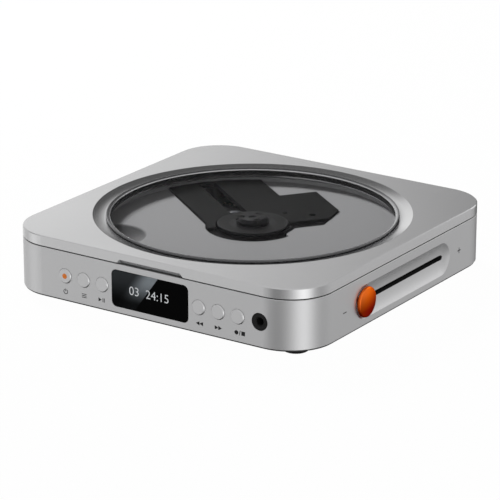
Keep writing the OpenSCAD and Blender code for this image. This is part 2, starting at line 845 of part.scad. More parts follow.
module display_module() {
    color("darkslategray") translate([0, y_front + wall + module_t, control_z]) facing_front() {
        round_block(module_w, display_h + 1.6, display_r, module_t);
        translate([0, 0, -1.2]) round_block(display_w - 6, display_h - 6, 1, 1.2);
    }
}

// Round cap with a flange behind the wall and a stem to its switch
module button_cap(light) {
    color("silver") translate([0, y_front, control_z]) facing_front() difference() {
        union() {
            translate([0, 0, button_out - 0.4]) cylinder(r1 = button_r, r2 = button_r - 0.4, h = 0.4);
            translate([0, 0, -wall - 0.1]) cylinder(r = button_r, h = wall + 0.1 + button_out - 0.4);
            translate([0, 0, -wall - 0.1 - flange_t]) cylinder(r = button_r + 0.8, h = flange_t);
            translate([0, 0, y_front - button_back]) cylinder(r = stem_r + 0.6, h = wall + 0.5);
        }
        if (light)
            translate([0, 0, -wall - 1]) cylinder(r = light_r + 0.02, h = wall + 3);
    }
}

function button_x(side, i) = side * (button_first + i * button_pitch);

module power_button() {
    translate([button_x(-1, 2), 0, 0]) button_cap(true);
}

module output_button() {
    translate([button_x(-1, 1), 0, 0]) button_cap(false);
}

module play_button() {
    translate([button_x(-1, 0), 0, 0]) button_cap(false);
}

module previous_button() {
    translate([button_x(1, 0), 0, 0]) button_cap(false);
}

module next_button() {
    translate([button_x(1, 1), 0, 0]) button_cap(false);
}

module record_button() {
    translate([button_x(1, 2), 0, 0]) button_cap(false);
}

module power_light() {
    color("darkorange") translate([button_x(-1, 2), y_front, control_z]) facing_front()
        translate([0, 0, -wall - 1]) cylinder(r = light_r, h = wall + 1 + button_out + 0.05);
}

module control_board() {
    half = button_x(1, 2) + 5;
    color("darkgreen")
        translate([-half, board_y, board_top]) cube([2 * half, control_board_t, control_z + 6.6 - board_top]);
}

module button_switches() {
    color("dimgray") button_places() {
        translate([-switch_w / 2, board_y - y_front - switch_t, -switch_w / 2])
            cube([switch_w, switch_t, switch_w]);
        translate([0, board_y - y_front - switch_t + 0.1, 0]) facing_front()
            cylinder(r = stem_r, h = board_y - switch_t + 0.1 - switch_tip);
    }
}

// Socket for a 3.5 mm plug; the mouth is at z = 0 and the body hangs below it
module plug_socket(under) {
    difference() {
        union() {
            translate([0, 0, -wall - 0.5]) cylinder(r = collar_r, h = wall + 0.45);
            translate([-socket_w / 2, -under, -wall - socket_l])
                cube([socket_w, under + 3.9, socket_l - seat]);
        }
        translate([0, 0, -plug_l]) cylinder(r = plug_r, h = plug_l + over);
        translate([0, 0, -0.5]) cylinder(r1 = plug_r, r2 = plug_r + 0.6, h = 0.6);
    }
}

module headphone_socket() {
    color([0.06, 0.06, 0.06]) translate([phones_at, y_front, control_z]) facing_front()
        plug_socket(control_z - board_top);
}

module line_socket() {
    color([0.06, 0.06, 0.06]) translate([line_x, y_back, line_z]) mirror([0, 1, 0]) facing_front()
        plug_socket(line_z - board_top);
}

module power_socket() {
    color("silver") translate([usb_x, y_back - 0.3, board_top + usb_h / 2]) mirror([0, 1, 0]) facing_front() {
        difference() {
            translate([0, 0, -usb_l]) round_block(usb_w, usb_h, usb_h / 2 - 0.02, usb_l);
            translate([0, 0, -usb_l + 0.8])
                round_block(usb_w - 0.7, usb_h - 0.7, usb_h / 2 - 0.36, usb_l);
        }
        translate([-3.3, -0.35, -usb_l + 0.6]) cube([6.6, 0.7, usb_l - 1.4]);
    }
}

// ---------------------------------------------------------------- slider

module at_slider() {
    translate([0, -slider_half, slider_z]) children();
}

module volume_knob() {
    color("orangered") at_slider() {
        translate([x_side + knob_out - knob_t, 0, 0]) facing_right()
            rotate_extrude($fn = 120)
                polygon([
                    [0, 0], [knob_r - 1.3, 0], [knob_r - 0.35, 0.35], [knob_r, 0.9], [knob_r, knob_t - 0.5],
                    [knob_r - 0.15, knob_t - 0.15], [knob_r - 0.5, knob_t], [0, knob_t]
                ]);
        translate([x_side - recess_depth - 0.6, 0, 0]) facing_right()
            cylinder(r = stem_half, h = recess_depth + 0.7 + knob_out - knob_t);
    }
}

module volume_carriage() {
    color("dimgray") at_slider() {
        translate([pad_x - air - carriage_t, -4, -3.6]) cube([carriage_t, 8, 7.2]);
        translate([pad_x - air - 0.1, 0, 0]) facing_right()
            cylinder(r = stem_half, h = x_side - recess_depth - 0.6 - pad_x + air + 0.1);
        translate([pot_x + pot_w - 2, -2, -0.5]) cube([2 + air + 0.1, 4, 1]);
    }
}

module volume_potentiometer() {
    color("lightgray") difference() {
        union() {
            translate([pot_x, -pot_half, slider_z - pot_half_h]) cube([pot_w, 2 * pot_half, 2 * pot_half_h]);
            for (y = [-1, 1]) translate([pot_x + 1, y * (pot_half - 4) - 3, base_t])
                cube([pot_w - 2, 6, slider_z - base_t]);
        }
        translate([pot_x + pot_w - 3, 0, slider_z]) slot_bar(slider_half + 3.2, 0.8, 3 + over);
    }
}

// ---------------------------------------------------------------- electronics

module main_board() {
    color("darkgreen") difference() {
        union() {
            translate([-board_half, board_front, z_board])
                cube([2 * board_half, board_middle - board_front, board_t]);
            translate([-board_half, board_middle - 10, z_board])
                cube([0.71 * board_half, board_back - board_middle + 10, board_t]);
        }
        corners_at(wall_screw_pitch / 2, wall_screw_pitch / 2)
            translate([0, 0, z_board - over]) cylinder(r = insert_boss_r + 0.6, h = board_t + 2 * over);
        translate([0, 0, z_board - over]) board_stands(1 + fit, board_t + 2 * over);
    }
}

module board_screws() {
    color("silver") for (x = [-1, 1], y = stand_ys)
        translate([x * stand_x, y, board_top]) screw(0.95, board_t + 2, 1.9, 0.9);
}

module board_chips() {
    // each chip: across and along the board as shares, then width, depth and height
    chips = [
        [0, -0.45, 16, 16, 1.4], [-0.31, -0.2, 10, 8, 1.1], [0.33, -0.2, 9, 9, 1.1],
        [0.66, -0.06, 12, 6, 1.6], [-0.77, 0.08, 8, 8, 2.4], [-0.77, 0.6, 8, 8, 2.4]
    ];
    color([0.1, 0.1, 0.11]) translate([0, 0, board_top]) {
        for (c = chips)
            translate([c[0] * board_half - c[2] / 2, c[1] * y_back - c[3] / 2, 0]) cube([c[2], c[3], c[4]]);
        for (i = [0:3])
            translate([board_half * (0.48 + 0.11 * i), board_front + 15, 0]) cylinder(r = 2, h = 2.2);
    }
}

// ---------------------------------------------------------------- drive

module drive_cover() {
    color([0.12, 0.12, 0.12]) in_drive() difference() {
        union() {
            translate([0, 0, cover_under]) linear_extrude(cover_low_t) cover_outline(0);
            translate([0, 0, z_cover_low - 0.01]) linear_extrude(cover_step + 0.01) difference() {
                cover_outline(0);
                translate([-60 + 2, -10]) square([60, 60]);
                translate([-60 - 3, -60]) square([60, 60 - 16]);
            }
            for (p = [[57, 15.5], [57, -19], [22, -38], [13, 16]])
                translate([p[0], p[1], z_chassis]) cylinder(r = 1.6, h = cover_under - z_chassis + 0.4);
        }
        translate([0, 0, cover_under - over]) cylinder(r = well_r, h = 2 * over + z_cover - cover_under);
        translate([track_from, -track_w / 2, cover_under - over])
            cube([track_to - track_from, track_w, 2 * over + z_cover]);
        translate([10.5, -19.5, z_cover - 1.2]) cylinder(r = 1.1, h = over + 1.2);
        translate([3.8, -30.4, z_cover - 1.2]) cylinder(r = 1.6, h = over + 1.2);
    }
}

// Block that carries one end of a guide rail, hanging from the chassis plate
module rail_lug(s, y) {
    translate([s, y - lug_half, rail_z - lug_half])
        cube([lug_l, 2 * lug_half, chassis_under - rail_z + lug_half + 0.2]);
}

module drive_chassis() {
    wall_y = feed_y - feed_motor_r - 1.4;
    plate_from = feed_s - feed_motor_r - 0.6;
    plate_to = gear_s + gear_pr + 2.2;
    color([0.2, 0.2, 0.21]) in_drive() difference() {
        union() {
            translate([-15, -22, chassis_under]) cube([rail_to + 0.6 + 15, 44, chassis_t]);
            translate([-11, wall_y, chassis_under]) cube([70, -wall_y, chassis_t]);
            for (e = ears) translate([e[0], e[1], chassis_under]) cylinder(r = ear_r, h = chassis_t);
            for (e = [ears[0], ears[1]])
                translate([e[0] - ear_r, 20, chassis_under]) cube([2 * ear_r, e[1] - 20, chassis_t]);
            for (s = [rail_from, rail_to - lug_l], y = [-1, 1]) rail_lug(s, y * rail_off);
            translate([plate_from, wall_y, plate_top - plate_t])
                cube([plate_to - plate_from, rack_y - 1.6 - wall_y, plate_t]);
            translate([plate_from, wall_y, plate_top - plate_t])
                cube([plate_to - plate_from, 1.2, chassis_under - plate_top + plate_t + 0.2]);
        }
        translate([rail_from + lug_l + 0.3, -sled_half - 1, chassis_under - over])
            cube([rail_to - lug_l - 0.6 - rail_from - lug_l, 2 * sled_half + 2, chassis_t + 2 * over]);
        translate([0, 0, chassis_under - over]) cylinder(r = 3.1, h = chassis_t + 2 * over);
        for (e = ears) translate([e[0], e[1], chassis_under - over])
            cylinder(r = grommet_neck_r + fit, h = chassis_t + 2 * over);
        for (y = [-1, 1]) translate([rail_from - over, y * rail_off, rail_z]) facing_right()
            cylinder(r = rail_r + 0.02, h = rail_to - rail_from + 2 * over);
        translate([gear_s, gear_y, plate_top - plate_t - over])
            cylinder(r = gear_pin_r + 0.02, h = plate_t + 2 * over);
        translate([feed_s, feed_y, plate_top - plate_t - over]) cylinder(r = 2, h = plate_t + 2 * over);
    }
}

module damper_grommets() {
    color("dimgray") in_drive() for (e = ears)
        translate([e[0], e[1], 0]) rotate_extrude()
            polygon([
                [post_r + fit, post_end], [grommet_r, post_end], [grommet_r, chassis_under],
                [grommet_neck_r, chassis_under], [grommet_neck_r, z_chassis], [grommet_r, z_chassis],
                [grommet_r, floor_under], [post_r + fit, floor_under]
            ]);
}

module drive_screws() {
    color("silver") in_drive() for (e = ears)
        translate([e[0], e[1], post_end]) mirror([0, 0, 1]) screw(1, 2.6, grommet_r - 0.6, 1);
}

module guide_rails() {
    color("silver") in_drive() for (y = [-1, 1])
        translate([rail_from, y * rail_off, rail_z]) facing_right()
            cylinder(r = rail_r, h = rail_to - rail_from);
}

module spindle_motor() {
    color("lightgray") translate([0, 0, chassis_under - motor_h]) difference() {
        union() {
            cylinder(r = motor_r, h = motor_h);
            translate([0, 0, motor_h]) cylinder(r = 3, h = 1.2);
            translate([0, 0, -0.6]) cylinder(r = 3, h = 0.7);
        }
        translate([0, 0, 0.8]) cylinder(r = shaft_r + fit, h = motor_h + over);
    }
}

module spindle_shaft() {
    z_from = chassis_under - motor_h + 1;
    color("silver") translate([0, 0, z_from]) cylinder(r = shaft_r, h = z_table + boss_h - z_from);
}

// Radial slots in the centring boss, one for each claw
module claw_places() {
    for (i = [0:2]) rotate([0, 0, 90 + 120 * i]) children();
}

module turntable() {
    hub_under = z_chassis + 0.3;
    color([0.12, 0.12, 0.12]) difference() {
        union() {
            translate([0, 0, z_table - table_t])
                rotate_extrude($fn = 120)
                    polygon([[0, 0], [table_r - 0.5, 0], [table_r, 0.5], [table_r, table_t - 0.3],
                        [table_r - 0.3, table_t], [0, table_t]]);
            translate([0, 0, hub_under]) cylinder(r = table_hub_r, h = z_table - table_t - hub_under + 0.1);
            translate([0, 0, z_table - 0.1]) cylinder(r = boss_r, h = boss_h + 0.1);
            translate([0, 0, z_table + boss_h]) cylinder(r1 = boss_r - 0.1, r2 = boss_r - 1.6, h = dome_h);
        }
        translate([0, 0, hub_under - over])
            cylinder(r = shaft_r + 0.01, h = z_table + boss_h + 0.02 - hub_under + over);
        translate([0, 0, z_table - 0.4]) tube(table_r - 0.8, boss_r + 3.2, 0.4 + over);
        claw_places() translate([boss_r - 3.7, -claw_w / 2 - 0.1, z_table])
            cube([boss_r, claw_w + 0.2, boss_h + dome_h + over]);
        translate([0, 0, z_table + boss_h + dome_h - 0.5]) cylinder(r1 = 1.2, r2 = 2, h = 0.6);
    }
}

module turntable_pad() {
    color("black") translate([0, 0, z_table - 0.4]) tube(table_r - 0.85, boss_r + 3.25, 0.4);
}

module claw() {
    color([0.2, 0.2, 0.2])
        translate([0, claw_w / 2, z_table]) rotate([90, 0, 0]) linear_extrude(claw_w)
            polygon([
                [boss_r - 3, 0.2], [boss_r - 0.2, 0.2], [boss_r - 0.2, boss_h - 0.3],
                [boss_r + claw_out, boss_h + 0.1], [boss_r - 0.5, boss_h + 0.8], [boss_r - 3, boss_h + 0.9]
            ]);
}

module chuck_claw_1() {
    rotate([0, 0, 90]) claw();
}

module chuck_claw_2() {
    rotate([0, 0, 210]) claw();
}

module chuck_claw_3() {
    rotate([0, 0, 330]) claw();
}

module pickup_sled() {
    rack_from = gear_s - sled_travel - 3;
    rack_to = gear_s + 3.6;
    bar_y = rack_y + 1.2 * rack_m;
    play = 0.06;
    web_from = sled_in + 2;
    web_l = sled_out - sled_in - 4;
    color([0.25, 0.25, 0.27]) in_drive() difference() {
        union() {
            translate([sled_in, -sled_half, sled_under])
                cube([sled_out - sled_in, 2 * sled_half, chassis_under - 0.3 - sled_under]);
            translate([sled_in, -sled_half, sled_under])
                cube([sled_out - sled_in, 2 * sled_half, sled_top - sled_under]);
            for (y = [-1, 1]) {
                translate([web_from, y * rail_off, rail_z]) facing_right() cylinder(r = bush_r, h = web_l);
                translate([web_from, y * (sled_half + rail_off) / 2 - 2.2, rail_z - 1.8])
                    cube([web_l, 4.4, 3.6]);
            }
            translate([web_from, bar_y, rack_under]) cube([web_l, -rail_off - 0.5 - bar_y, rack_h]);
            translate([rack_from, bar_y, rack_under]) cube([rack_to - rack_from, 1.6, rack_h]);
            translate([0, 0, rack_under]) linear_extrude(rack_h) rack_teeth(rack_from, rack_to, bar_y, play);
        }
        for (y = [-1, 1]) translate([web_from - over, y * rail_off, rail_z]) facing_right()
            cylinder(r = rail_r + fit, h = web_l + 2 * over);
        translate([lens_at - 6, -5.6, sled_top - 3]) cube([16, 11.2, 3 + over]);
    }
}

// Straight-sided rack teeth that point to -Y; a space faces the pinion's first tooth
module rack_teeth(from, to, base_y, play) {
    pitch = PI * rack_m;
    half = pitch / 4 - play;
    tip = 0.8 * rack_m;
    root = base_y - rack_y;
    first = ceil((from - gear_s) / pitch + 0.2);
    last = floor((to - gear_s) / pitch - 0.2);
    for (k = [first:last - 1])
        translate([gear_s + (k + 0.5) * pitch, rack_y])
            polygon([
                [-half - root * tan(20), root + 0.1], [half + root * tan(20), root + 0.1],
                [half - tip * tan(20), -tip], [-half + tip * tan(20), -tip]
            ]);
}

module lens_holder() {
    color([0.15, 0.15, 0.16]) in_drive() translate([lens_at, 0, sled_top + holder_gap - 0.3]) difference() {
        union() {
            translate([-5, -3.5, 0]) cube([10, 7, holder_t - 0.5]);
            cylinder(r = lens_r + 0.8, h = holder_t);
        }
        translate([0, 0, holder_t - 0.8]) cylinder(r = lens_r + 0.02, h = over + 0.8);
    }
}

module objective_lens() {
    z_lens = sled_top + holder_gap - 0.3 + holder_t - 0.8;
    ball_r = (lens_r * lens_r + lens_t * lens_t) / (2 * lens_t);
    color([0.7, 0.8, 0.95]) in_drive() translate([lens_at, 0, z_lens]) {
        cylinder(r = lens_r, h = 0.8);
        intersection() {
            translate([0, 0, 0.8 + lens_t - ball_r]) sphere(r = ball_r, $fn = 80);
            translate([0, 0, 0.6]) cylinder(r = lens_r - 0.4, h = 2);
        }
    }
}

module feed_motor() {
    motor_under = plate_top - plate_t - feed_motor_h;
    color("lightgray") in_drive() translate([feed_s, feed_y, motor_under]) difference() {
        union() {
            cylinder(r = feed_motor_r, h = feed_motor_h);
            translate([0, 0, feed_motor_h]) cylinder(r = 1.9, h = plate_t - 0.2);
        }
        translate([0, 0, 0.8]) cylinder(r = feed_shaft_r + fit, h = feed_motor_h + plate_t + over);
    }
}

module feed_shaft() {
    z_from = plate_top - plate_t - feed_motor_h + 1;
    color("silver") in_drive() translate([feed_s, feed_y, z_from])
        cylinder(r = feed_shaft_r, h = big_gear_top + 0.4 - z_from);
}

module feed_pinion() {
    // turned so that one of its spaces faces the large gear's tooth
    to_gear = feed_angle + 180;
    color("goldenrod") in_drive()
        translate([feed_s, feed_y, big_gear_top - big_gear_t - 0.2])
            linear_extrude(big_gear_t + 0.4) difference() {
                rotate(to_gear + 180 / motor_teeth) gear_outline(feed_m, motor_teeth, 0.06);
                circle(feed_shaft_r + 0.01);
            }
}

module feed_gear() {
    color("ivory") in_drive() translate([gear_s, gear_y, 0]) difference() {
        union() {
            translate([0, 0, rack_under - 0.1]) linear_extrude(rack_h + 0.2)
                rotate(90) gear_outline(rack_m, pinion_teeth, 0.06);
            translate([0, 0, big_gear_top - 0.1])
                cylinder(r = pinion_pr - 1.4, h = rack_under - big_gear_top + 0.2);
            translate([0, 0, big_gear_top - big_gear_t]) linear_extrude(big_gear_t)
                rotate(feed_angle) gear_outline(feed_m, gear_teeth, 0.06);
            translate([0, 0, plate_top + 0.1]) cylinder(r = 2.4, h = big_gear_top - plate_top - 0.2);
        }
        translate([0, 0, plate_top - over])
            cylinder(r = gear_pin_r + fit, h = rack_top - plate_top + 2 * over);
    }
}

module gear_pin() {
    color("silver") in_drive() translate([gear_s, gear_y, plate_top - plate_t])
        cylinder(r = gear_pin_r, h = rack_top + 0.2 - plate_top + plate_t);
}

base_cover();
rubber_feet();
base_screws();
wall_inserts();
body_shell();
disc_tray();
tray_screws();
lid_frame();
lid_window();
window_seal();
lid_hinge_leaves();
body_hinge_leaves();
hinge_pins();
hinge_screws();
lid_magnets();
tray_magnets();
lid_bumpers();
display_glass();
display_module();
power_button();
output_button();
play_button();
previous_button();
next_button();
record_button();
power_light();
control_board();
button_switches();
headphone_socket();
volume_knob();
volume_carriage();
volume_potentiometer();
main_board();
board_chips();
board_screws();
drive_cover();
drive_chassis();
damper_grommets();
drive_screws();
spindle_motor();
spindle_shaft();
turntable();
turntable_pad();
chuck_claw_1();
chuck_claw_2();
chuck_claw_3();
pickup_sled();
lens_holder();
objective_lens();
guide_rails();
feed_motor();
feed_shaft();
feed_pinion();
feed_gear();
gear_pin();
power_socket();
line_socket();
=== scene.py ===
"""Looks of the flat disc player: finishes, printed marks, window rim, board parts, light and camera."""
import math

import bmesh
import bpy
from mathutils import Matrix, Vector


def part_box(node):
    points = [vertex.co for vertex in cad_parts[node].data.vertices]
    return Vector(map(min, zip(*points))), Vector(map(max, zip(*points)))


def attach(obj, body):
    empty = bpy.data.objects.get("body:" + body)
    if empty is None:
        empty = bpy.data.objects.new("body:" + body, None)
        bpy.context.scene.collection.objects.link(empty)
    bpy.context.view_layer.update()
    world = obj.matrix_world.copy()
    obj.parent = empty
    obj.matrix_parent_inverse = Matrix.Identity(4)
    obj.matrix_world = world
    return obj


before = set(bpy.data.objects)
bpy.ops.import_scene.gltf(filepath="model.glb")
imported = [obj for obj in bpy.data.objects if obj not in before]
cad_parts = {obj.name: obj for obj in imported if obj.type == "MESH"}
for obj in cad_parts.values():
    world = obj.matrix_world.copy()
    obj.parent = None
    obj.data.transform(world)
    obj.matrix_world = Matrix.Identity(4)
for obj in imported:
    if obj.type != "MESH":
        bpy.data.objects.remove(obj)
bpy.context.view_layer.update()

mm = 0.001
scene = bpy.context.scene
scene.view_settings.view_transform = "Standard"

# Places that the pieces below share with the case, in millimetres
FRONT_Y = -80.0
SIDE_X = 80.0
LID_TOP_Z = 28.3
FLOOR_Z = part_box("rubber_feet")[0][2] / mm
BAY_FLOOR_Z = 21.3
BOARD_TOP_Z = 5.6
CONTROL_Z = 11.9
SLIDER_Z = 11.2
KNOB_Y = -32.4
FOOT_SPACING = 134
BUTTON_X = [-45.9, -35.8, -25.7, 25.7, 35.8, 45.9]


# ------------------------------------------------------------------ shader helpers

def add(tree, kind, links=None, **settings):
    """Adds a node; links maps its input names to values or to output sockets."""
    made = tree.nodes.new(kind)
    for key, value in settings.items():
        setattr(made, key, value)
    for key, value in (links or {}).items():
        socket = made.inputs[key]
        if isinstance(value, bpy.types.NodeSocket):
            tree.links.new(value, socket)
        else:
            socket.default_value = value
    return made


def math_of(tree, operation, *values):
    """The result of one Math node."""
    return add(tree, "ShaderNodeMath", dict(enumerate(values)), operation=operation).outputs[0]


def vector_of(tree, operation, *values):
    """The result of one Vector Math node: a length or product as a number, all else as a vector."""
    made = add(tree, "ShaderNodeVectorMath", dict(enumerate(values)), operation=operation)
    return made.outputs["Value" if operation in ("DOT_PRODUCT", "LENGTH") else "Vector"]


def between(tree, value, low, high, start=0.0, end=1.0, eased=False):
    """Takes low to high over to start to end and no further; eased softens both ends."""
    return add(tree, "ShaderNodeMapRange",
               {"Value": value, "From Min": low, "From Max": high, "To Min": start, "To Max": end},
               interpolation_type="SMOOTHSTEP" if eased else "LINEAR").outputs["Result"]


def level_mix(tree, share, first, second):
    """A number between first and second, by share."""
    return add(tree, "ShaderNodeMix", {0: share, 2: first, 3: second}).outputs[0]


def colour_mix(tree, share, first, second):
    """A colour between first and second, by share."""
    return add(tree, "ShaderNodeMix", {0: share, 6: first, 7: second}, data_type="RGBA").outputs[2]


def new_group(name, inputs, outputs):
    """A shader group with (name, type, default) inputs and (name, type) outputs."""
    group = bpy.data.node_groups.new(name, "ShaderNodeTree")
    for label, kind, default in inputs:
        made = group.interface.new_socket(name=label, in_out="INPUT", socket_type=kind)
        made.default_value = default
    for label, kind in outputs:
        group.interface.new_socket(name=label, in_out="OUTPUT", socket_type=kind)
    return group, group.nodes.new("NodeGroupInput"), group.nodes.new("NodeGroupOutput")


def make_grain_group():
    """Fine moulded or lacquered grain with soft handling marks over it."""
    group, given, out = new_group(
        "fine grain",
        [("Grain per metre", "NodeSocketFloat", 5000.0), ("Depth", "NodeSocketFloat", 0.1),
         ("Smudge per metre", "NodeSocketFloat", 25.0), ("Along X", "NodeSocketFloat", 1.0)],
        [("Grain", "NodeSocketFloat"), ("Smudge", "NodeSocketFloat"), ("Normal", "NodeSocketVector")])
    coords = add(group, "ShaderNodeTexCoord").outputs["Object"]
    stretch = add(group, "ShaderNodeCombineXYZ", {"X": given.outputs["Along X"], "Y": 1.0, "Z": 1.0})
    place = vector_of(group, "MULTIPLY", coords, stretch.outputs[0])
    grain = add(group, "ShaderNodeTexNoise", {
        "Vector": place, "Scale": given.outputs["Grain per metre"], "Detail": 3.0, "Roughness": 0.6})
    smudge = add(group, "ShaderNodeTexNoise", {
        "Vector": coords, "Scale": given.outputs["Smudge per metre"], "Detail": 4.0,
        "Roughness": 0.55, "Distortion": 0.4})
    bump = add(group, "ShaderNodeBump", {
        "Strength": given.outputs["Depth"], "Distance": 0.1 * mm, "Height": grain.outputs["Fac"]})
    group.links.new(grain.outputs["Fac"], out.inputs["Grain"])
    group.links.new(between(group, smudge.outputs["Fac"], 0.3, 0.7), out.inputs["Smudge"])
    group.links.new(bump.outputs["Normal"], out.inputs["Normal"])
    return group


GRAIN = make_grain_group()


def finish(name, light, dark, rough, metallic=0.0, grain=5000.0, depth=0.1, smudge=25.0, along=1.0,
           rough_spread=0.08, coat=0.0, coat_rough=0.1, specular=0.5, alpha=1.0, speckle=0.5):
    """A material whose tone, gloss and relief vary with the grain and the smudges."""
    made = bpy.data.materials.new(name)
    made.use_nodes = True
    tree = made.node_tree
    shader = tree.nodes["Principled BSDF"]
    marks = add(tree, "ShaderNodeGroup", node_tree=GRAIN)
    for key, value in (("Grain per metre", grain), ("Depth", depth), ("Smudge per metre", smudge),
                       ("Along X", along)):
        marks.inputs[key].default_value = value
    share = level_mix(tree, speckle, marks.outputs["Smudge"], marks.outputs["Grain"])
    tone = colour_mix(tree, share, dark + (1.0,), light + (1.0,))
    gloss = between(tree, marks.outputs["Smudge"], 0.0, 1.0, rough - rough_spread, rough + rough_spread)
    tree.links.new(tone, shader.inputs["Base Color"])
    tree.links.new(gloss, shader.inputs["Roughness"])
    tree.links.new(marks.outputs["Normal"], shader.inputs["Normal"])
    for key, value in (("Metallic", metallic), ("Coat Weight", coat), ("Coat Roughness", coat_rough),
                       ("Specular IOR Level", specular), ("IOR", 1.5), ("Alpha", alpha)):
        shader.inputs[key].default_value = value
    return made


def opened(material):
    """The tree, shader and Object coordinates of a finish that is worked on further."""
    tree = material.node_tree
    return tree, tree.nodes["Principled BSDF"], add(tree, "ShaderNodeTexCoord").outputs["Object"]


def x_y_z(tree, coords):
    """The three outputs of one Separate XYZ node."""
    return add(tree, "ShaderNodeSeparateXYZ", {0: coords}).outputs


def lay_over(tree, shader, share, colour):
    """Lays a colour over the finish's own, by share."""
    own = shader.inputs["Base Color"].links[0].from_socket
    tree.links.new(colour_mix(tree, share, own, colour + (1.0,)), shader.inputs["Base Color"])


# ------------------------------------------------------------------ finishes

CASE_METALLIC = 0.95

lid_lacquer = finish(
    "lid lacquer", (0.60, 0.60, 0.605), (0.55, 0.55, 0.555), 0.22, metallic=CASE_METALLIC, grain=7000,
    depth=0.04, smudge=14, rough_spread=0.02, speckle=0.85)
button_lacquer = finish(
    "button lacquer", (0.62, 0.62, 0.625), (0.56, 0.56, 0.565), 0.36, metallic=CASE_METALLIC, grain=7000,
    depth=0.04, smudge=60, rough_spread=0.03, speckle=0.8)
dark_plastic = finish(
    "dark moulded plastic", (0.035, 0.035, 0.037), (0.022, 0.022, 0.024), 0.55, grain=3500, depth=0.2,
    smudge=30)
deck_plastic = finish(
    "deck plastic", (0.017, 0.017, 0.017), (0.012, 0.012, 0.012), 0.6, grain=3000, depth=0.15, smudge=22,
    specular=0.05)
turntable_plastic = finish(
    "turntable plastic", (0.015, 0.015, 0.016), (0.010, 0.010, 0.011), 0.42, grain=3800, depth=0.08,
    smudge=50, specular=0.08)
black_rubber = finish(
    "black rubber", (0.016, 0.016, 0.016), (0.010, 0.010, 0.010), 0.75, grain=2600, depth=0.3, smudge=60,
    specular=0.25)
deep_plastic = finish(
    "plastic of the inner drive", (0.010, 0.010, 0.010), (0.006, 0.006, 0.006), 0.6, grain=3500, depth=0.2,
    smudge=30, specular=0.08)
seal_rubber = finish(
    "seal rubber", (0.010, 0.010, 0.010), (0.006, 0.006, 0.006), 0.6, grain=2600, depth=0.15, smudge=40,
    specular=0.3)
ground_steel = finish(
    "ground steel", (0.62, 0.62, 0.62), (0.48, 0.48, 0.48), 0.28, metallic=1.0, grain=4000, depth=0.1,
    smudge=80, along=0.08)
zinc_steel = finish(
    "zinc plate", (0.60, 0.60, 0.58), (0.46, 0.46, 0.45), 0.4, metallic=1.0, grain=900, depth=0.08,
    smudge=90)
nickel_plate = finish(
    "nickel plate", (0.72, 0.70, 0.66), (0.62, 0.60, 0.57), 0.18, metallic=1.0, grain=3000, depth=0.03,
    smudge=90)
turned_brass = finish(
    "turned brass", (0.72, 0.53, 0.22), (0.58, 0.41, 0.16), 0.3, metallic=1.0, grain=3000, depth=0.1,
    smudge=120)
pressed_sheet = finish(
    "pressed sheet", (0.63, 0.63, 0.64), (0.52, 0.52, 0.53), 0.42, metallic=1.0, grain=2500, depth=0.12,
    smudge=60, along=0.1)
acetal = finish(
    "natural acetal", (0.80, 0.78, 0.70), (0.72, 0.70, 0.62), 0.45, grain=2500, depth=0.06, smudge=120)
lens_coating = finish(
    "lens coating", (0.030, 0.034, 0.050), (0.018, 0.020, 0.034), 0.10, grain=600, depth=0.0, smudge=300,
    rough_spread=0.02, coat=0.3, coat_rough=0.05, specular=0.3)
print_grey = finish(
    "printed grey", (0.030, 0.030, 0.031), (0.020, 0.020, 0.021), 0.6, grain=9000, depth=0.05, smudge=400,
    specular=0.2)
window_clear = finish(
    "window acrylic", (0.06, 0.06, 0.065), (0.04, 0.04, 0.045), 0.05, grain=800, depth=0.0, smudge=9,
    rough_spread=0.02, alpha=0.03, speckle=0.1, specular=0.3)
rim_bright = finish(
    "window border edge", (0.66, 0.66, 0.67), (0.60, 0.60, 0.61), 0.22, metallic=0.9, grain=1500,
    depth=0.0, smudge=40, rough_spread=0.03)


def make_rim_dark():
    """The window's border: dark at its outer edge, with a painted reflection that makes it paler towards the
    window.
    """
    made = finish(
        "window border", (0.20, 0.20, 0.205), (0.16, 0.16, 0.165), 0.26, metallic=0.9, grain=1500,
        depth=0.0, smudge=40, rough_spread=0.03)
    tree, shader, coords = opened(made)
    dark_radius, pale_radius = 65.9, 64.9
    radius = vector_of(tree, "LENGTH", vector_of(tree, "MULTIPLY", coords, (1, 1, 0)))
    inner = between(tree, radius, dark_radius * mm, pale_radius * mm, eased=True)
    # Painted reflection: the inner band is laid paler over the border's own dark colour
    lay_over(tree, shader, inner, (0.50, 0.50, 0.51))
    return made


def make_tray_plastic():
    """The bay's grey plastic, with painted shade in the thumb scoop, darkest towards the bay wall."""
    made = finish(
        "tray plastic", (0.345, 0.345, 0.352), (0.32, 0.32, 0.326), 0.5, grain=4500, depth=0.06, smudge=18,
        rough_spread=0.05, speckle=0.6, specular=0.12)
    tree, shader, coords = opened(made)
    x, y, z = x_y_z(tree, coords)
    skin, full_depth, scoop_right = 0.02, 0.5, -30
    disc_side, wall_side, disc_side_shade = -19, 7, 0.50
    sunk = between(tree, z, (BAY_FLOOR_Z - skin) * mm, (BAY_FLOOR_Z - full_depth) * mm)
    to_the_wall = math_of(tree, "SUBTRACT", y, x)
    shade = between(tree, to_the_wall, disc_side * mm, wall_side * mm, disc_side_shade, 1.0)
    on_the_left = math_of(tree, "LESS_THAN", x, scoop_right * mm)
    scoop = math_of(tree, "MULTIPLY", sunk, on_the_left)
    # Painted shade: the scoop is coloured darker, most towards the bay wall
    lay_over(tree, shader, math_of(tree, "MULTIPLY", scoop, shade), (0.08, 0.08, 0.082))
    return made


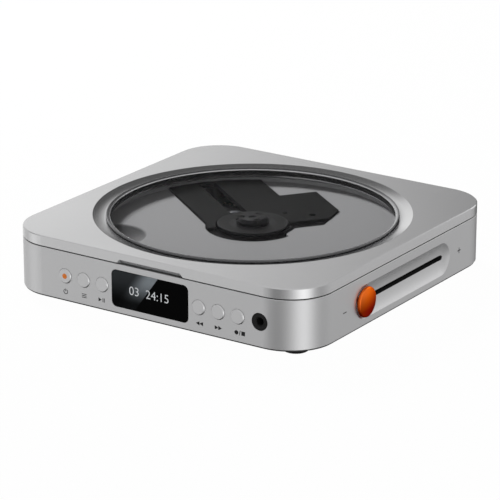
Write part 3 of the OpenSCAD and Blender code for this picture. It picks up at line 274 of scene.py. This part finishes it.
def make_knob_orange():
    """Orange anodised metal on a slightly crowned face, with painted shade that darkens it towards its lower
    edge.
    """
    made = finish(
        "knob orange", (0.96, 0.190, 0.030), (0.88, 0.165, 0.024), 0.30, metallic=0.96, grain=6000,
        depth=0.05, smudge=80, rough_spread=0.02)
    tree, shader, coords = opened(made)
    crown_radius = 24 * mm
    centred = vector_of(tree, "SUBTRACT", coords, (0, KNOB_Y * mm, SLIDER_Z * mm))
    flat = vector_of(tree, "MULTIPLY", centred, (0, 1, 1))
    square = vector_of(tree, "DOT_PRODUCT", flat, flat)
    relief = add(tree, "ShaderNodeBump", {
        "Strength": 1.0, "Distance": 1.0, "Height": math_of(tree, "MULTIPLY", square, -0.5 / crown_radius),
        "Normal": shader.inputs["Normal"].links[0].from_socket})
    tree.links.new(relief.outputs[0], shader.inputs["Normal"])
    # Painted shade: the face is coloured darker towards its lower edge
    brightest_z, darkest_shade_z = SLIDER_Z + 4.2, SLIDER_Z - 3.6
    low = between(tree, x_y_z(tree, coords)["Z"], brightest_z * mm, darkest_shade_z * mm)
    lay_over(tree, shader, low, (0.34, 0.030, 0.001))
    shader.inputs["Specular Tint"].default_value = (1.0, 0.35, 0.08, 1.0)
    return made


def make_case_lacquer():
    """The case's lacquer, with the inside of the slider's slot coloured near black and matt."""
    made = finish(
        "case lacquer with black slot", (0.60, 0.60, 0.605), (0.55, 0.55, 0.555), 0.41,
        metallic=CASE_METALLIC, grain=7000, depth=0.05, smudge=14, rough_spread=0.02, speckle=0.85)
    tree, shader, coords = opened(made)
    x, y, z = x_y_z(tree, coords)
    recess, wall_inside, half_height, half_length = 2.02, 5.5, 1.6, 37
    behind_recess = math_of(tree, "LESS_THAN", x, (SIDE_X - recess) * mm)
    in_wall = math_of(tree, "GREATER_THAN", x, (SIDE_X - wall_inside) * mm)
    at_height = math_of(tree, "COMPARE", z, SLIDER_Z * mm, half_height * mm)
    at_length = math_of(tree, "COMPARE", y, 0.0, half_length * mm)
    slot = math_of(tree, "MULTIPLY", math_of(tree, "MULTIPLY", behind_recess, in_wall),
                  math_of(tree, "MULTIPLY", at_height, at_length))
    gloss = shader.inputs["Roughness"].links[0].from_socket
    lay_over(tree, shader, slot, (0.004, 0.004, 0.004))
    tree.links.new(level_mix(tree, slot, gloss, 0.8), shader.inputs["Roughness"])
    tree.links.new(between(tree, slot, 0.0, 1.0, CASE_METALLIC, 0.0), shader.inputs["Metallic"])
    return made


def make_display_glass():
    """Smoked glass: near black, with a painted reflection as a pale patch left of a slanting edge."""
    made = finish(
        "smoked display glass", (0.0012, 0.0012, 0.0013), (0.0008, 0.0008, 0.0009), 0.09, grain=900,
        depth=0.0, smudge=45, rough_spread=0.02, specular=0.02)
    tree, shader, coords = opened(made)
    x, _, z = x_y_z(tree, coords)
    slope, foot_x = 12.85 / 17.4, -10.66
    bottom_z, top_z, bottom_share = 6, 18.5, 0.02
    near, far, far_share = 3.5, 12, 0.12
    left_of_edge = math_of(tree, "SUBTRACT", math_of(tree, "MULTIPLY_ADD", z, slope, foot_x * mm), x)
    inside = between(tree, left_of_edge, -0.05 * mm, 0.15 * mm)
    fade_down = between(tree, z, bottom_z * mm, top_z * mm, bottom_share, 1.0, eased=True)
    fade_left = between(tree, left_of_edge, near * mm, far * mm, 1.0, far_share, eased=True)
    painted_reflection = math_of(tree, "MULTIPLY", fade_down, fade_left)
    # Painted reflection: a pale patch that fades downwards and leftwards from the slanting edge
    lay_over(tree, shader, math_of(tree, "MULTIPLY", painted_reflection, inside), (0.37, 0.41, 0.445))
    return made


def make_glow(name, colour, strength):
    """A faintly uneven lit surface."""
    made = finish(name, colour, tuple(0.8 * c for c in colour), 0.4, grain=4000, depth=0.0, smudge=300)
    shader = made.node_tree.nodes["Principled BSDF"]
    tone = shader.inputs["Base Color"].links[0].from_socket
    made.node_tree.links.new(tone, shader.inputs["Emission Color"])
    shader.inputs["Emission Strength"].default_value = strength
    return made


def make_circuit_board():
    """Green solder resist with paler tracks and tinned pads."""
    made = finish(
        "solder resist", (0.020, 0.095, 0.045), (0.012, 0.060, 0.030), 0.35, grain=2500, depth=0.05,
        smudge=60, coat=0.3)
    tree, shader, coords = opened(made)
    cells_per_metre, tracks_per_cell, track_from, pad_radius = 170.0, 9.0, 0.72, 0.08
    cells = add(tree, "ShaderNodeTexVoronoi", {"Vector": coords, "Scale": cells_per_metre},
                distance="MANHATTAN", feature="F1").outputs["Distance"]
    wave = math_of(tree, "FRACT", math_of(tree, "MULTIPLY", cells, tracks_per_cell))
    lay_over(tree, shader, math_of(tree, "GREATER_THAN", wave, track_from), (0.045, 0.17, 0.085))
    lay_over(tree, shader, math_of(tree, "LESS_THAN", cells, pad_radius), (0.50, 0.49, 0.45))
    return made


rim_dark = make_rim_dark()
tray_plastic = make_tray_plastic()
knob_orange = make_knob_orange()
silver_lacquer = make_case_lacquer()
display_glass = make_display_glass()
digit_glow = make_glow("digit glow", (0.80, 0.82, 0.84), 0.30)
light_glow = make_glow("power light glow", (0.70, 0.17, 0.004), 0.34)
circuit_board = make_circuit_board()

NODE_FINISH = {
    "base_cover": dark_plastic, "rubber_feet": black_rubber, "base_screws": ground_steel,
    "wall_inserts": turned_brass, "body_shell": silver_lacquer, "disc_tray": tray_plastic,
    "tray_screws": ground_steel, "lid_frame": lid_lacquer, "lid_window": window_clear,
    "window_seal": seal_rubber, "lid_hinge_leaves": pressed_sheet, "body_hinge_leaves": pressed_sheet,
    "hinge_pins": ground_steel, "hinge_screws": ground_steel, "lid_magnets": nickel_plate,
    "tray_magnets": nickel_plate, "lid_bumpers": black_rubber, "display_glass": display_glass,
    "display_module": dark_plastic, "power_button": button_lacquer, "output_button": button_lacquer,
    "play_button": button_lacquer, "previous_button": button_lacquer, "next_button": button_lacquer,
    "record_button": button_lacquer, "power_light": light_glow, "control_board": circuit_board,
    "button_switches": dark_plastic, "headphone_socket": black_rubber, "volume_knob": knob_orange,
    "volume_carriage": deck_plastic, "volume_potentiometer": deck_plastic, "main_board": circuit_board,
    "board_chips": dark_plastic, "board_screws": ground_steel, "drive_cover": deck_plastic,
    "drive_chassis": deep_plastic, "damper_grommets": black_rubber, "drive_screws": ground_steel,
    "spindle_motor": zinc_steel, "spindle_shaft": ground_steel, "turntable": turntable_plastic,
    "turntable_pad": seal_rubber, "chuck_claw_1": deep_plastic, "chuck_claw_2": deep_plastic,
    "chuck_claw_3": deep_plastic, "pickup_sled": deep_plastic, "lens_holder": dark_plastic,
    "objective_lens": lens_coating, "guide_rails": ground_steel, "feed_motor": zinc_steel,
    "feed_shaft": ground_steel, "feed_pinion": turned_brass, "feed_gear": acetal,
    "gear_pin": ground_steel, "power_socket": nickel_plate, "line_socket": black_rubber,
}
for name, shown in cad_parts.items():
    shown.data.materials.clear()
    shown.data.materials.append(NODE_FINISH[name])


# ------------------------------------------------------------------ mesh helpers

def piece(name, points, faces, material, body, smooth=False):
    """A mesh piece from points in millimetres that rides on a body."""
    mesh = bpy.data.meshes.new(name)
    mesh.from_pydata([Vector(p) * mm for p in points], [], faces)
    mesh.update()
    made = bpy.data.objects.new(name, mesh)
    scene.collection.objects.link(made)
    work = bmesh.new()
    work.from_mesh(mesh)
    bmesh.ops.remove_doubles(work, verts=work.verts, dist=1e-7)
    bmesh.ops.recalc_face_normals(work, faces=work.faces)
    for face in work.faces:
        face.smooth = smooth
    work.to_mesh(mesh)
    work.free()
    mesh.materials.append(material)
    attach(made, body)


def round_turn(steps):
    """The angles of a full turn in equal steps."""
    return [2 * math.pi * i / steps for i in range(steps)]


def ring_profile(profile):
    """Points and faces of a closed profile of (radius, height) turned about the upright middle axis."""
    points, faces, n, steps = [], [], len(profile), 240
    for angle in round_turn(steps):
        points += [(r * math.cos(angle), r * math.sin(angle), z) for r, z in profile]
    for i in range(steps):
        here, there = i * n, ((i + 1) % steps) * n
        for k in range(n):
            up = (k + 1) % n
            faces.append((here + k, here + up, there + up, there + k))
    return points, faces


class Print:
    """Collects flat printed shapes, drawn in (across, up) millimetres, and stands them proud of a face."""
    THICKNESS = 0.03

    def __init__(self):
        self.points, self.faces = [], []

    def shape(self, outline, place, across, up, out):
        base = len(self.points)
        n = len(outline)
        for lift in (-self.THICKNESS / 2, self.THICKNESS):
            for x, y in outline:
                spot = Vector(place) + Vector(across) * x + Vector(up) * y + Vector(out) * lift
                self.points.append(tuple(spot))
        self.faces.append(tuple(range(base, base + n)))
        self.faces.append(tuple(range(base + 2 * n - 1, base + n - 1, -1)))
        for k in range(n):
            j = (k + 1) % n
            self.faces.append((base + k, base + j, base + n + j, base + n + k))


def bar(cx, cy, w, h):
    """A rectangle of w by h about (cx, cy)."""
    return [(cx + i * w / 2, cy + j * h / 2) for i, j in ((-1, -1), (1, -1), (1, 1), (-1, 1))]


def arrow(cx, cy, w, h, way):
    """A triangle of w by h about (cx, cy) that points right, or left where way is -1."""
    return [(cx - way * w / 2, cy - h / 2), (cx + way * w / 2, cy), (cx - way * w / 2, cy + h / 2)]


def arc_band(cx, cy, r, w, start, end):
    """A band of width w along an arc of radius r, from start to end in radians."""
    steps = 20
    inner = [(cx + (r - w / 2) * math.cos(a), cy + (r - w / 2) * math.sin(a))
             for a in [start + (end - start) * i / steps for i in range(steps + 1)]]
    outer = [(cx + (r + w / 2) * math.cos(a), cy + (r + w / 2) * math.sin(a))
             for a in [end - (end - start) * i / steps for i in range(steps + 1)]]
    return inner + outer


# ------------------------------------------------------------------ printed marks and window border

def front_marks():
    """Generic symbols under the six buttons: power, list, play or pause, back, forward, record or stop."""
    ink = Print()
    scale, z = 1.25, 4.7
    stroke, tall = 0.26, 1.5
    across, up, out = (scale, 0, 0), (0, 0, scale), (0, -1, 0)

    def put(x, outline):
        ink.shape(outline, (x, FRONT_Y, z), across, up, out)

    put(-45.8, arc_band(0, -0.05, 0.85, stroke, math.radians(120), math.radians(420)))
    put(-45.8, bar(0, 0.55, stroke, 1.0))
    for k in (-1, 0, 1):
        put(-35.6, bar(0, 0.62 * k, 2.0, stroke))
    put(-26.0, arrow(-0.7, 0, 1.35, tall, 1))
    for k in (0.55, 1.15):
        put(-26.0, bar(k, 0, 0.28, tall))
    for k in (-0.75, 0.75):
        put(26.2, arrow(k, 0, 1.45, tall, -1))
        put(36.0, arrow(k, 0, 1.45, tall, 1))
    put(45.3, [(0.78 * math.cos(a), 0.78 * math.sin(a)) for a in round_turn(24)])
    put(46.9, [(-0.25, -0.9), (-0.02, -0.9), (0.45, 0.9), (0.22, 0.9)])
    put(48.8, bar(0, 0, tall, tall))
    piece("front_marks", ink.points, ink.faces, print_grey, "case")


def side_marks():
    """Minus and plus at the two ends of the slider."""
    ink = Print()
    across, up, out = (0, 1, 0), (0, 0, 1), (1, 0, 0)
    long, stroke, z = 2.7, 0.42, 11.1
    minus_y, plus_y = -48.8, 48.7
    arm, arm_at = 1.14, 0.78
    for outline, y in ((bar(0, 0, long, stroke), minus_y), (bar(0, 0, long, stroke), plus_y),
                       (bar(0, arm_at, stroke, arm), plus_y), (bar(0, -arm_at, stroke, arm), plus_y)):
        ink.shape(outline, (SIDE_X, y, z), across, up, out)
    piece("side_marks", ink.points, ink.faces, print_grey, "case")


def display_digits():
    """Plain lit digits for a track and a time."""
    text = bpy.data.curves.new("digits", "FONT")
    text.body = "03  24:15"
    text.size = 5.7 * mm
    text.align_x = "CENTER"
    text.align_y = "CENTER"
    text.extrude = 0.015 * mm
    text.offset = -0.04 * mm
    flat = bpy.data.objects.new("digits", text)
    scene.collection.objects.link(flat)
    bpy.context.view_layer.update()
    mesh = bpy.data.meshes.new_from_object(flat.evaluated_get(bpy.context.evaluated_depsgraph_get()))
    mesh.name = "display_digits"
    bpy.data.objects.remove(flat)
    mesh.transform(Matrix.Translation(Vector((-0.4, FRONT_Y + 0.035, CONTROL_Z + 0.1)) * mm)
                   @ Matrix.Rotation(math.radians(90), 4, "X"))
    made = bpy.data.objects.new("display_digits", mesh)
    scene.collection.objects.link(made)
    mesh.materials.clear()
    mesh.materials.append(digit_glow)
    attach(made, "case")


def window_border():
    """The window's border and the bright edge inside it, sunk a hair below the window's own faces."""
    points, faces = ring_profile([
        (66.38, 26.76), (66.38, 28.06), (66.30, 28.20), (66.1, 28.22), (65.7, 28.10), (65.2, 27.92),
        (64.86, 27.78), (64.80, 27.66), (64.78, 26.76)])
    piece("window_border", points, faces, rim_dark, "lid", smooth=True)
    edge_radius, edge_z, half_width, half_height = 64.72, 27.50, 0.15, 0.24
    points, faces = ring_profile([
        (edge_radius + half_width * math.cos(a), edge_z + half_height * math.sin(a))
        for a in round_turn(12)])
    piece("window_edge", points, faces, rim_bright, "lid", smooth=True)


front_marks()
side_marks()
display_digits()
window_border()


# ------------------------------------------------------------------ pieces that repeat, by geometry nodes

def new_rule(name, inputs):
    """A geometry tree with (name, type, default) inputs: it, its two ends and its input identifiers."""
    tree = bpy.data.node_groups.new(name, "GeometryNodeTree")
    tree.interface.new_socket(name="Geometry", in_out="OUTPUT", socket_type="NodeSocketGeometry")
    ids = {}
    for label, kind, default in inputs:
        made = tree.interface.new_socket(name=label, in_out="INPUT", socket_type=kind)
        made.default_value = default
        ids[label] = made.identifier
    return tree, tree.nodes.new("NodeGroupInput"), tree.nodes.new("NodeGroupOutput"), ids


def end_rule(tree, out, geometry, material):
    """Makes the instances real, gives them their material and hands them out."""
    whole = add(tree, "GeometryNodeRealizeInstances", {"Geometry": geometry})
    dressed = add(tree, "GeometryNodeSetMaterial", {"Geometry": whole.outputs["Geometry"]})
    dressed.inputs["Material"].default_value = material
    tree.links.new(dressed.outputs["Geometry"], out.inputs["Geometry"])


def grow(name, tree, ids, values, material, body):
    """Runs a geometry tree with these values and keeps the result as a plain mesh piece."""
    seed = bpy.data.objects.new(name + " seed", bpy.data.meshes.new(name + " seed"))
    scene.collection.objects.link(seed)
    rule = seed.modifiers.new("rule", "NODES")
    rule.node_group = tree
    for label, value in values.items():
        rule[ids[label]] = value
    seed.update_tag()
    bpy.context.view_layer.update()
    mesh = bpy.data.meshes.new_from_object(seed.evaluated_get(bpy.context.evaluated_depsgraph_get()))
    mesh.name = name
    bpy.data.objects.remove(seed)
    made = bpy.data.objects.new(name, mesh)
    scene.collection.objects.link(made)
    if not mesh.materials:
        mesh.materials.append(material)
    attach(made, body)


def row_rule(name, material):
    """Rows of small blocks: Count along Step, Rows along Row step, from Start."""
    tree, given, out, ids = new_rule(name, [
        ("Start", "NodeSocketVector", (0, 0, 0)), ("Count", "NodeSocketInt", 6),
        ("Step", "NodeSocketVector", (0.005, 0, 0)), ("Rows", "NodeSocketInt", 2),
        ("Row step", "NodeSocketVector", (0, 0.005, 0)), ("Size", "NodeSocketVector", (0.002, 0.001, 0.001))])
    line = add(tree, "GeometryNodeMeshLine", {
        "Count": given.outputs["Count"], "Start Location": given.outputs["Start"],
        "Offset": given.outputs["Step"]})
    rows = add(tree, "GeometryNodeMeshLine", {
        "Count": given.outputs["Rows"], "Offset": given.outputs["Row step"]})
    spread = add(tree, "GeometryNodeInstanceOnPoints", {
        "Points": rows.outputs[0], "Instance": line.outputs[0]})
    places = add(tree, "GeometryNodeRealizeInstances", {"Geometry": spread.outputs[0]})
    block = add(tree, "GeometryNodeMeshCube", {"Size": given.outputs["Size"]})
    parts = add(tree, "GeometryNodeInstanceOnPoints", {
        "Points": places.outputs[0], "Instance": block.outputs[0]})
    end_rule(tree, out, parts.outputs[0], material)
    return tree, ids


def tread_rule(name, material):
    """Raised rings on the underside of four feet that stand on a rectangle."""
    tree, given, out, ids = new_rule(name, [
        ("Feet across", "NodeSocketFloat", 0.134), ("Feet along", "NodeSocketFloat", 0.134),
        ("Height", "NodeSocketFloat", 0.0), ("Rings", "NodeSocketInt", 3),
        ("Ring step", "NodeSocketFloat", 0.0015), ("Wire", "NodeSocketFloat", 0.0002)])
    feet = add(tree, "GeometryNodeMeshGrid", {
        "Size X": given.outputs["Feet across"], "Size Y": given.outputs["Feet along"],
        "Vertices X": 2, "Vertices Y": 2})
    height = add(tree, "ShaderNodeCombineXYZ", {"Z": given.outputs["Height"]})
    raised = add(tree, "GeometryNodeTransform", {
        "Geometry": feet.outputs[0], "Translation": height.outputs[0]})
    centres = add(tree, "GeometryNodeMeshLine", {"Count": given.outputs["Rings"], "Offset": (0, 0, 0)})
    unit = add(tree, "GeometryNodeCurvePrimitiveCircle", {"Resolution": 40, "Radius": 1.0})
    nth = math_of(tree, "ADD", add(tree, "GeometryNodeInputIndex").outputs[0], 1.0)
    radius = math_of(tree, "MULTIPLY", nth, given.outputs["Ring step"])
    sized = add(tree, "ShaderNodeCombineXYZ", {"X": radius, "Y": radius, "Z": 1.0})
    rings = add(tree, "GeometryNodeInstanceOnPoints", {
        "Points": centres.outputs[0], "Instance": unit.outputs[0], "Scale": sized.outputs[0]})
    real = add(tree, "GeometryNodeRealizeInstances", {"Geometry": rings.outputs[0]})
    wire = add(tree, "GeometryNodeCurvePrimitiveCircle", {"Resolution": 6, "Radius": given.outputs["Wire"]})
    tread = add(tree, "GeometryNodeCurveToMesh", {"Curve": real.outputs[0], "Profile Curve": wire.outputs[0]})
    placed = add(tree, "GeometryNodeInstanceOnPoints", {
        "Points": raised.outputs[0], "Instance": tread.outputs[0]})
    end_rule(tree, out, placed.outputs[0], material)
    return tree, ids


# Rows of chip parts on the main board, in millimetres: (x, y, count, step, rows, row step)
CHIP_ROWS = [(-48, -30, 7, 3.2, 2, 3.4), (4, -4, 6, 3.4, 3, 3.0), (-16, 8, 5, 3.0, 2, 3.2),
             (24, 8, 8, 3.0, 2, 3.6), (-56, 56, 9, 3.0, 2, 3.2)]
CHIP_SIZE = (1.6 * mm, 0.8 * mm, 0.6 * mm)
PIN_Y, PIN_SIZE, PIN_ACROSS, PIN_UP = -70.2, 0.5, 3.8, 3.2


def board_parts():
    """Small soldered parts in rows on the main board and pins behind the front board."""
    tree, ids = row_rule("rows of chip parts", acetal)
    for n, (x, y, count, step, rows, row_step) in enumerate(CHIP_ROWS):
        grow(f"chip_parts_{n + 1}", tree, ids, {
            "Start": (x * mm, y * mm, (BOARD_TOP_Z + 0.3) * mm), "Count": count, "Step": (step * mm, 0, 0),
            "Rows": rows, "Row step": (0, row_step * mm, 0), "Size": CHIP_SIZE},
            acetal, "case")
    tree, ids = row_rule("rows of pins", nickel_plate)
    for n, x in enumerate(BUTTON_X):
        grow(f"switch_pins_{n + 1}", tree, ids, {
            "Start": ((x - PIN_ACROSS / 2) * mm, PIN_Y * mm, (CONTROL_Z - PIN_UP / 2) * mm), "Count": 2,
            "Step": (PIN_ACROSS * mm, 0, 0), "Rows": 2, "Row step": (0, 0, PIN_UP * mm),
            "Size": (PIN_SIZE * mm, PIN_SIZE * mm, PIN_SIZE * mm)}, nickel_plate, "case")


def foot_treads():
    """Ridges under the four feet, drawn within the rubber's own height."""
    tree, ids = tread_rule("foot treads", black_rubber)
    grow("foot_treads", tree, ids, {
        "Feet across": FOOT_SPACING * mm, "Feet along": FOOT_SPACING * mm, "Height": (FLOOR_Z + 0.15) * mm,
        "Rings": 3, "Ring step": 1.5 * mm, "Wire": 0.14 * mm}, black_rubber, "case")


board_parts()
foot_treads()


# ------------------------------------------------------------------ stage

# What metal mirrors of the studio, as (degrees from the front towards the right, level).
# AROUND holds below the horizon, LEVEL from about 9 to 25 degrees above it, ABOVE from about 31 degrees up.
AROUND = [(-180, 0.20), (-160, 0.06), (-155, 0.07), (-150, 0.37), (-141, 0.84), (-130, 1.00), (-110, 0.80),
          (-90, 0.72), (-76, 0.95), (-62, 1.18), (-50, 1.02), (-34, 0.84), (-20, 0.60), (-6, 0.34),
          (8, 0.38), (25, 0.58), (42, 1.05), (55, 1.62), (66, 1.80), (78, 1.40), (92, 0.70), (108, 0.50),
          (122, 0.60), (146, 0.76), (165, 0.55), (180, 0.20)]
LEVEL = [(-180, 0.26), (-160, 0.08), (-155, 0.095), (-150, 0.56), (-141, 1.12), (-132, 1.02), (-110, 0.80),
         (-60, 0.92), (-20, 0.80), (30, 0.85), (70, 1.0), (110, 0.90), (140, 1.0), (157, 0.84), (180, 0.26)]
ABOVE = [(-180, 0.10), (-120, 0.13), (-90, 0.45), (-60, 0.84), (60, 0.86), (110, 0.80), (150, 0.70),
         (168, 0.30), (180, 0.10)]
# How AROUND dims downwards, as (sine of the height, factor)
UPRIGHT = [(-1.0, 0.08), (-0.85, 0.28), (-0.60, 0.58), (-0.33, 1.0), (0.0, 1.20), (1.0, 1.20)]
RAMP_TOP = 2.0
WHITE = (1, 1, 1, 1)


def ramp(tree, source, stops):
    """The level at a place: stops are (place from 0 to 1, level from 0 to RAMP_TOP)."""
    made = add(tree, "ShaderNodeValToRGB", {"Fac": source})
    marks = made.color_ramp.elements
    while len(marks) < len(stops):
        marks.new(0.5)
    for mark, (place, level) in zip(marks, stops):
        mark.position = place
        mark.color = (level / RAMP_TOP,) * 3 + (1.0,)
    return math_of(tree, "MULTIPLY", made.outputs["Color"], RAMP_TOP)


def shader_mix(tree, share, first, second):
    """One shader between first and second, by share."""
    return add(tree, "ShaderNodeMixShader", {0: share, 1: first, 2: second}).outputs[0]


def add_floor():
    """A plain pale floor that is near white to the camera. Metal mirrors the studio beyond it, so it lets
    those rays through."""
    mesh = bpy.data.meshes.new("floor")
    side, z, white_share, grey = 8.0, FLOOR_Z * mm, 0.985, (0.64, 0.64, 0.64, 1)
    mesh.from_pydata([(x, y, z) for x, y in bar(0, 0, side, side)], [], [(0, 1, 2, 3)])
    made = bpy.data.objects.new("floor", mesh)
    scene.collection.objects.link(made)
    material = bpy.data.materials.new("pale floor")
    material.use_nodes = True
    tree = material.node_tree
    tree.nodes.clear()
    way = add(tree, "ShaderNodeLightPath").outputs
    matt = add(tree, "ShaderNodeBsdfDiffuse", {"Color": grey}).outputs[0]
    bright = add(tree, "ShaderNodeEmission", {"Color": WHITE, "Strength": 1.0}).outputs[0]
    clear = add(tree, "ShaderNodeBsdfTransparent").outputs[0]
    share = math_of(tree, "MULTIPLY", way["Is Camera Ray"], white_share)
    seen = shader_mix(tree, share, matt, bright)
    whole = shader_mix(tree, way["Is Glossy Ray"], seen, clear)
    out = add(tree, "ShaderNodeOutputMaterial")
    tree.links.new(whole, out.inputs["Surface"])
    mesh.materials.append(material)


def set_world():
    """White behind the object, a soft fill for matt surfaces, and the studio round it that metal mirrors."""
    world = bpy.data.worlds.new("studio")
    scene.world = world
    world.use_nodes = True
    tree = world.node_tree
    tree.nodes.clear()

    def sky(strength):
        """A white background of this strength."""
        return add(tree, "ShaderNodeBackground", {"Color": WHITE, "Strength": strength}).outputs[0]

    way = add(tree, "ShaderNodeLightPath").outputs
    x, y, z = x_y_z(tree, add(tree, "ShaderNodeTexCoord").outputs["Generated"])
    forward = math_of(tree, "MULTIPLY", y, -1.0)
    horizon_fill, overhead_fill, front_extra = 0.28, 0.05, 0.6
    low_fill = between(tree, z, 0.0, 0.5, horizon_fill, overhead_fill, eased=True)
    front_fill = between(tree, forward, 0.5, 0.9, 0.0, front_extra, eased=True)
    soft = sky(math_of(tree, "ADD", low_fill, front_fill))

    turn = math_of(tree, "ARCTAN2", x, forward)
    place = math_of(tree, "MULTIPLY_ADD", turn, 0.5 / math.pi, 0.5)
    rise = math_of(tree, "MULTIPLY_ADD", z, 0.5, 0.5)
    around, level_with, above = (ramp(tree, place, [(a / 360 + 0.5, v) for a, v in stops])
                                 for stops in (AROUND, LEVEL, ABOVE))
    upright = ramp(tree, rise, [(height / 2 + 0.5, v) for height, v in UPRIGHT])
    low_wall = math_of(tree, "MULTIPLY", around, upright)
    wall = level_mix(tree, between(tree, z, 0.0, 0.16, eased=True), low_wall, level_with)
    mirrored = sky(level_mix(tree, between(tree, z, 0.42, 0.52, eased=True), wall, above))

    unseen = shader_mix(tree, way["Is Glossy Ray"], soft, mirrored)
    whole = shader_mix(tree, way["Is Camera Ray"], unseen, sky(1.0))
    out = add(tree, "ShaderNodeOutputWorld")
    tree.links.new(whole, out.inputs["Surface"])


def panel(name, turn, distance, height, width, tall, level):
    """A soft lamp that faces the object, turn degrees from the front towards the right, in metres."""
    way = math.radians(turn)
    place = Vector((distance * math.sin(way), -distance * math.cos(way), height))
    aim = Vector((0, 0, 12 * mm))
    data = bpy.data.lights.new(name, "AREA")
    data.shape = "RECTANGLE"
    data.size, data.size_y, data.energy = width, tall, math.pi * width * tall * level
    made = bpy.data.objects.new(name, data)
    scene.collection.objects.link(made)
    made.location = place
    made.rotation_mode = "QUATERNION"
    made.rotation_quaternion = (aim - place).to_track_quat("-Z", "Y")
    made.visible_camera = False
    return made


def add_camera():
    """The photo's viewpoint, which was fitted on a case 100 units wide."""
    turn, tilt = math.radians(33.904), math.radians(19.186)
    away, left, down, mm_per_unit = 786.017, 0.774, 10.914, 1.6
    back = Vector((math.sin(turn) * math.cos(tilt), -math.cos(turn) * math.cos(tilt), math.sin(tilt)))
    right = Vector((math.cos(turn), math.sin(turn), 0))
    up = back.cross(right)
    data = bpy.data.cameras.new("camera")
    data.sensor_width = 36
    data.lens = 199.9
    data.clip_start, data.clip_end = 0.05, 30
    made = bpy.data.objects.new("camera", data)
    scene.collection.objects.link(made)
    from_lid = (away * back - left * right - down * up) * mm_per_unit * mm
    made.matrix_world = Matrix((right, up, back)).transposed().to_4x4()
    made.location = Vector((0, 0, LID_TOP_Z)) * mm + from_lid
    scene.camera = made


add_camera()
add_floor()
set_world()
# The key light reaches matt surfaces only: metal mirrors the painted studio instead
key = panel("key panel", turn=-112, distance=0.80, height=0.60, width=0.26, tall=0.24, level=66)
key.visible_glossy = False
panel("side panel", turn=152, distance=0.85, height=0.27, width=0.70, tall=0.26, level=0.75)
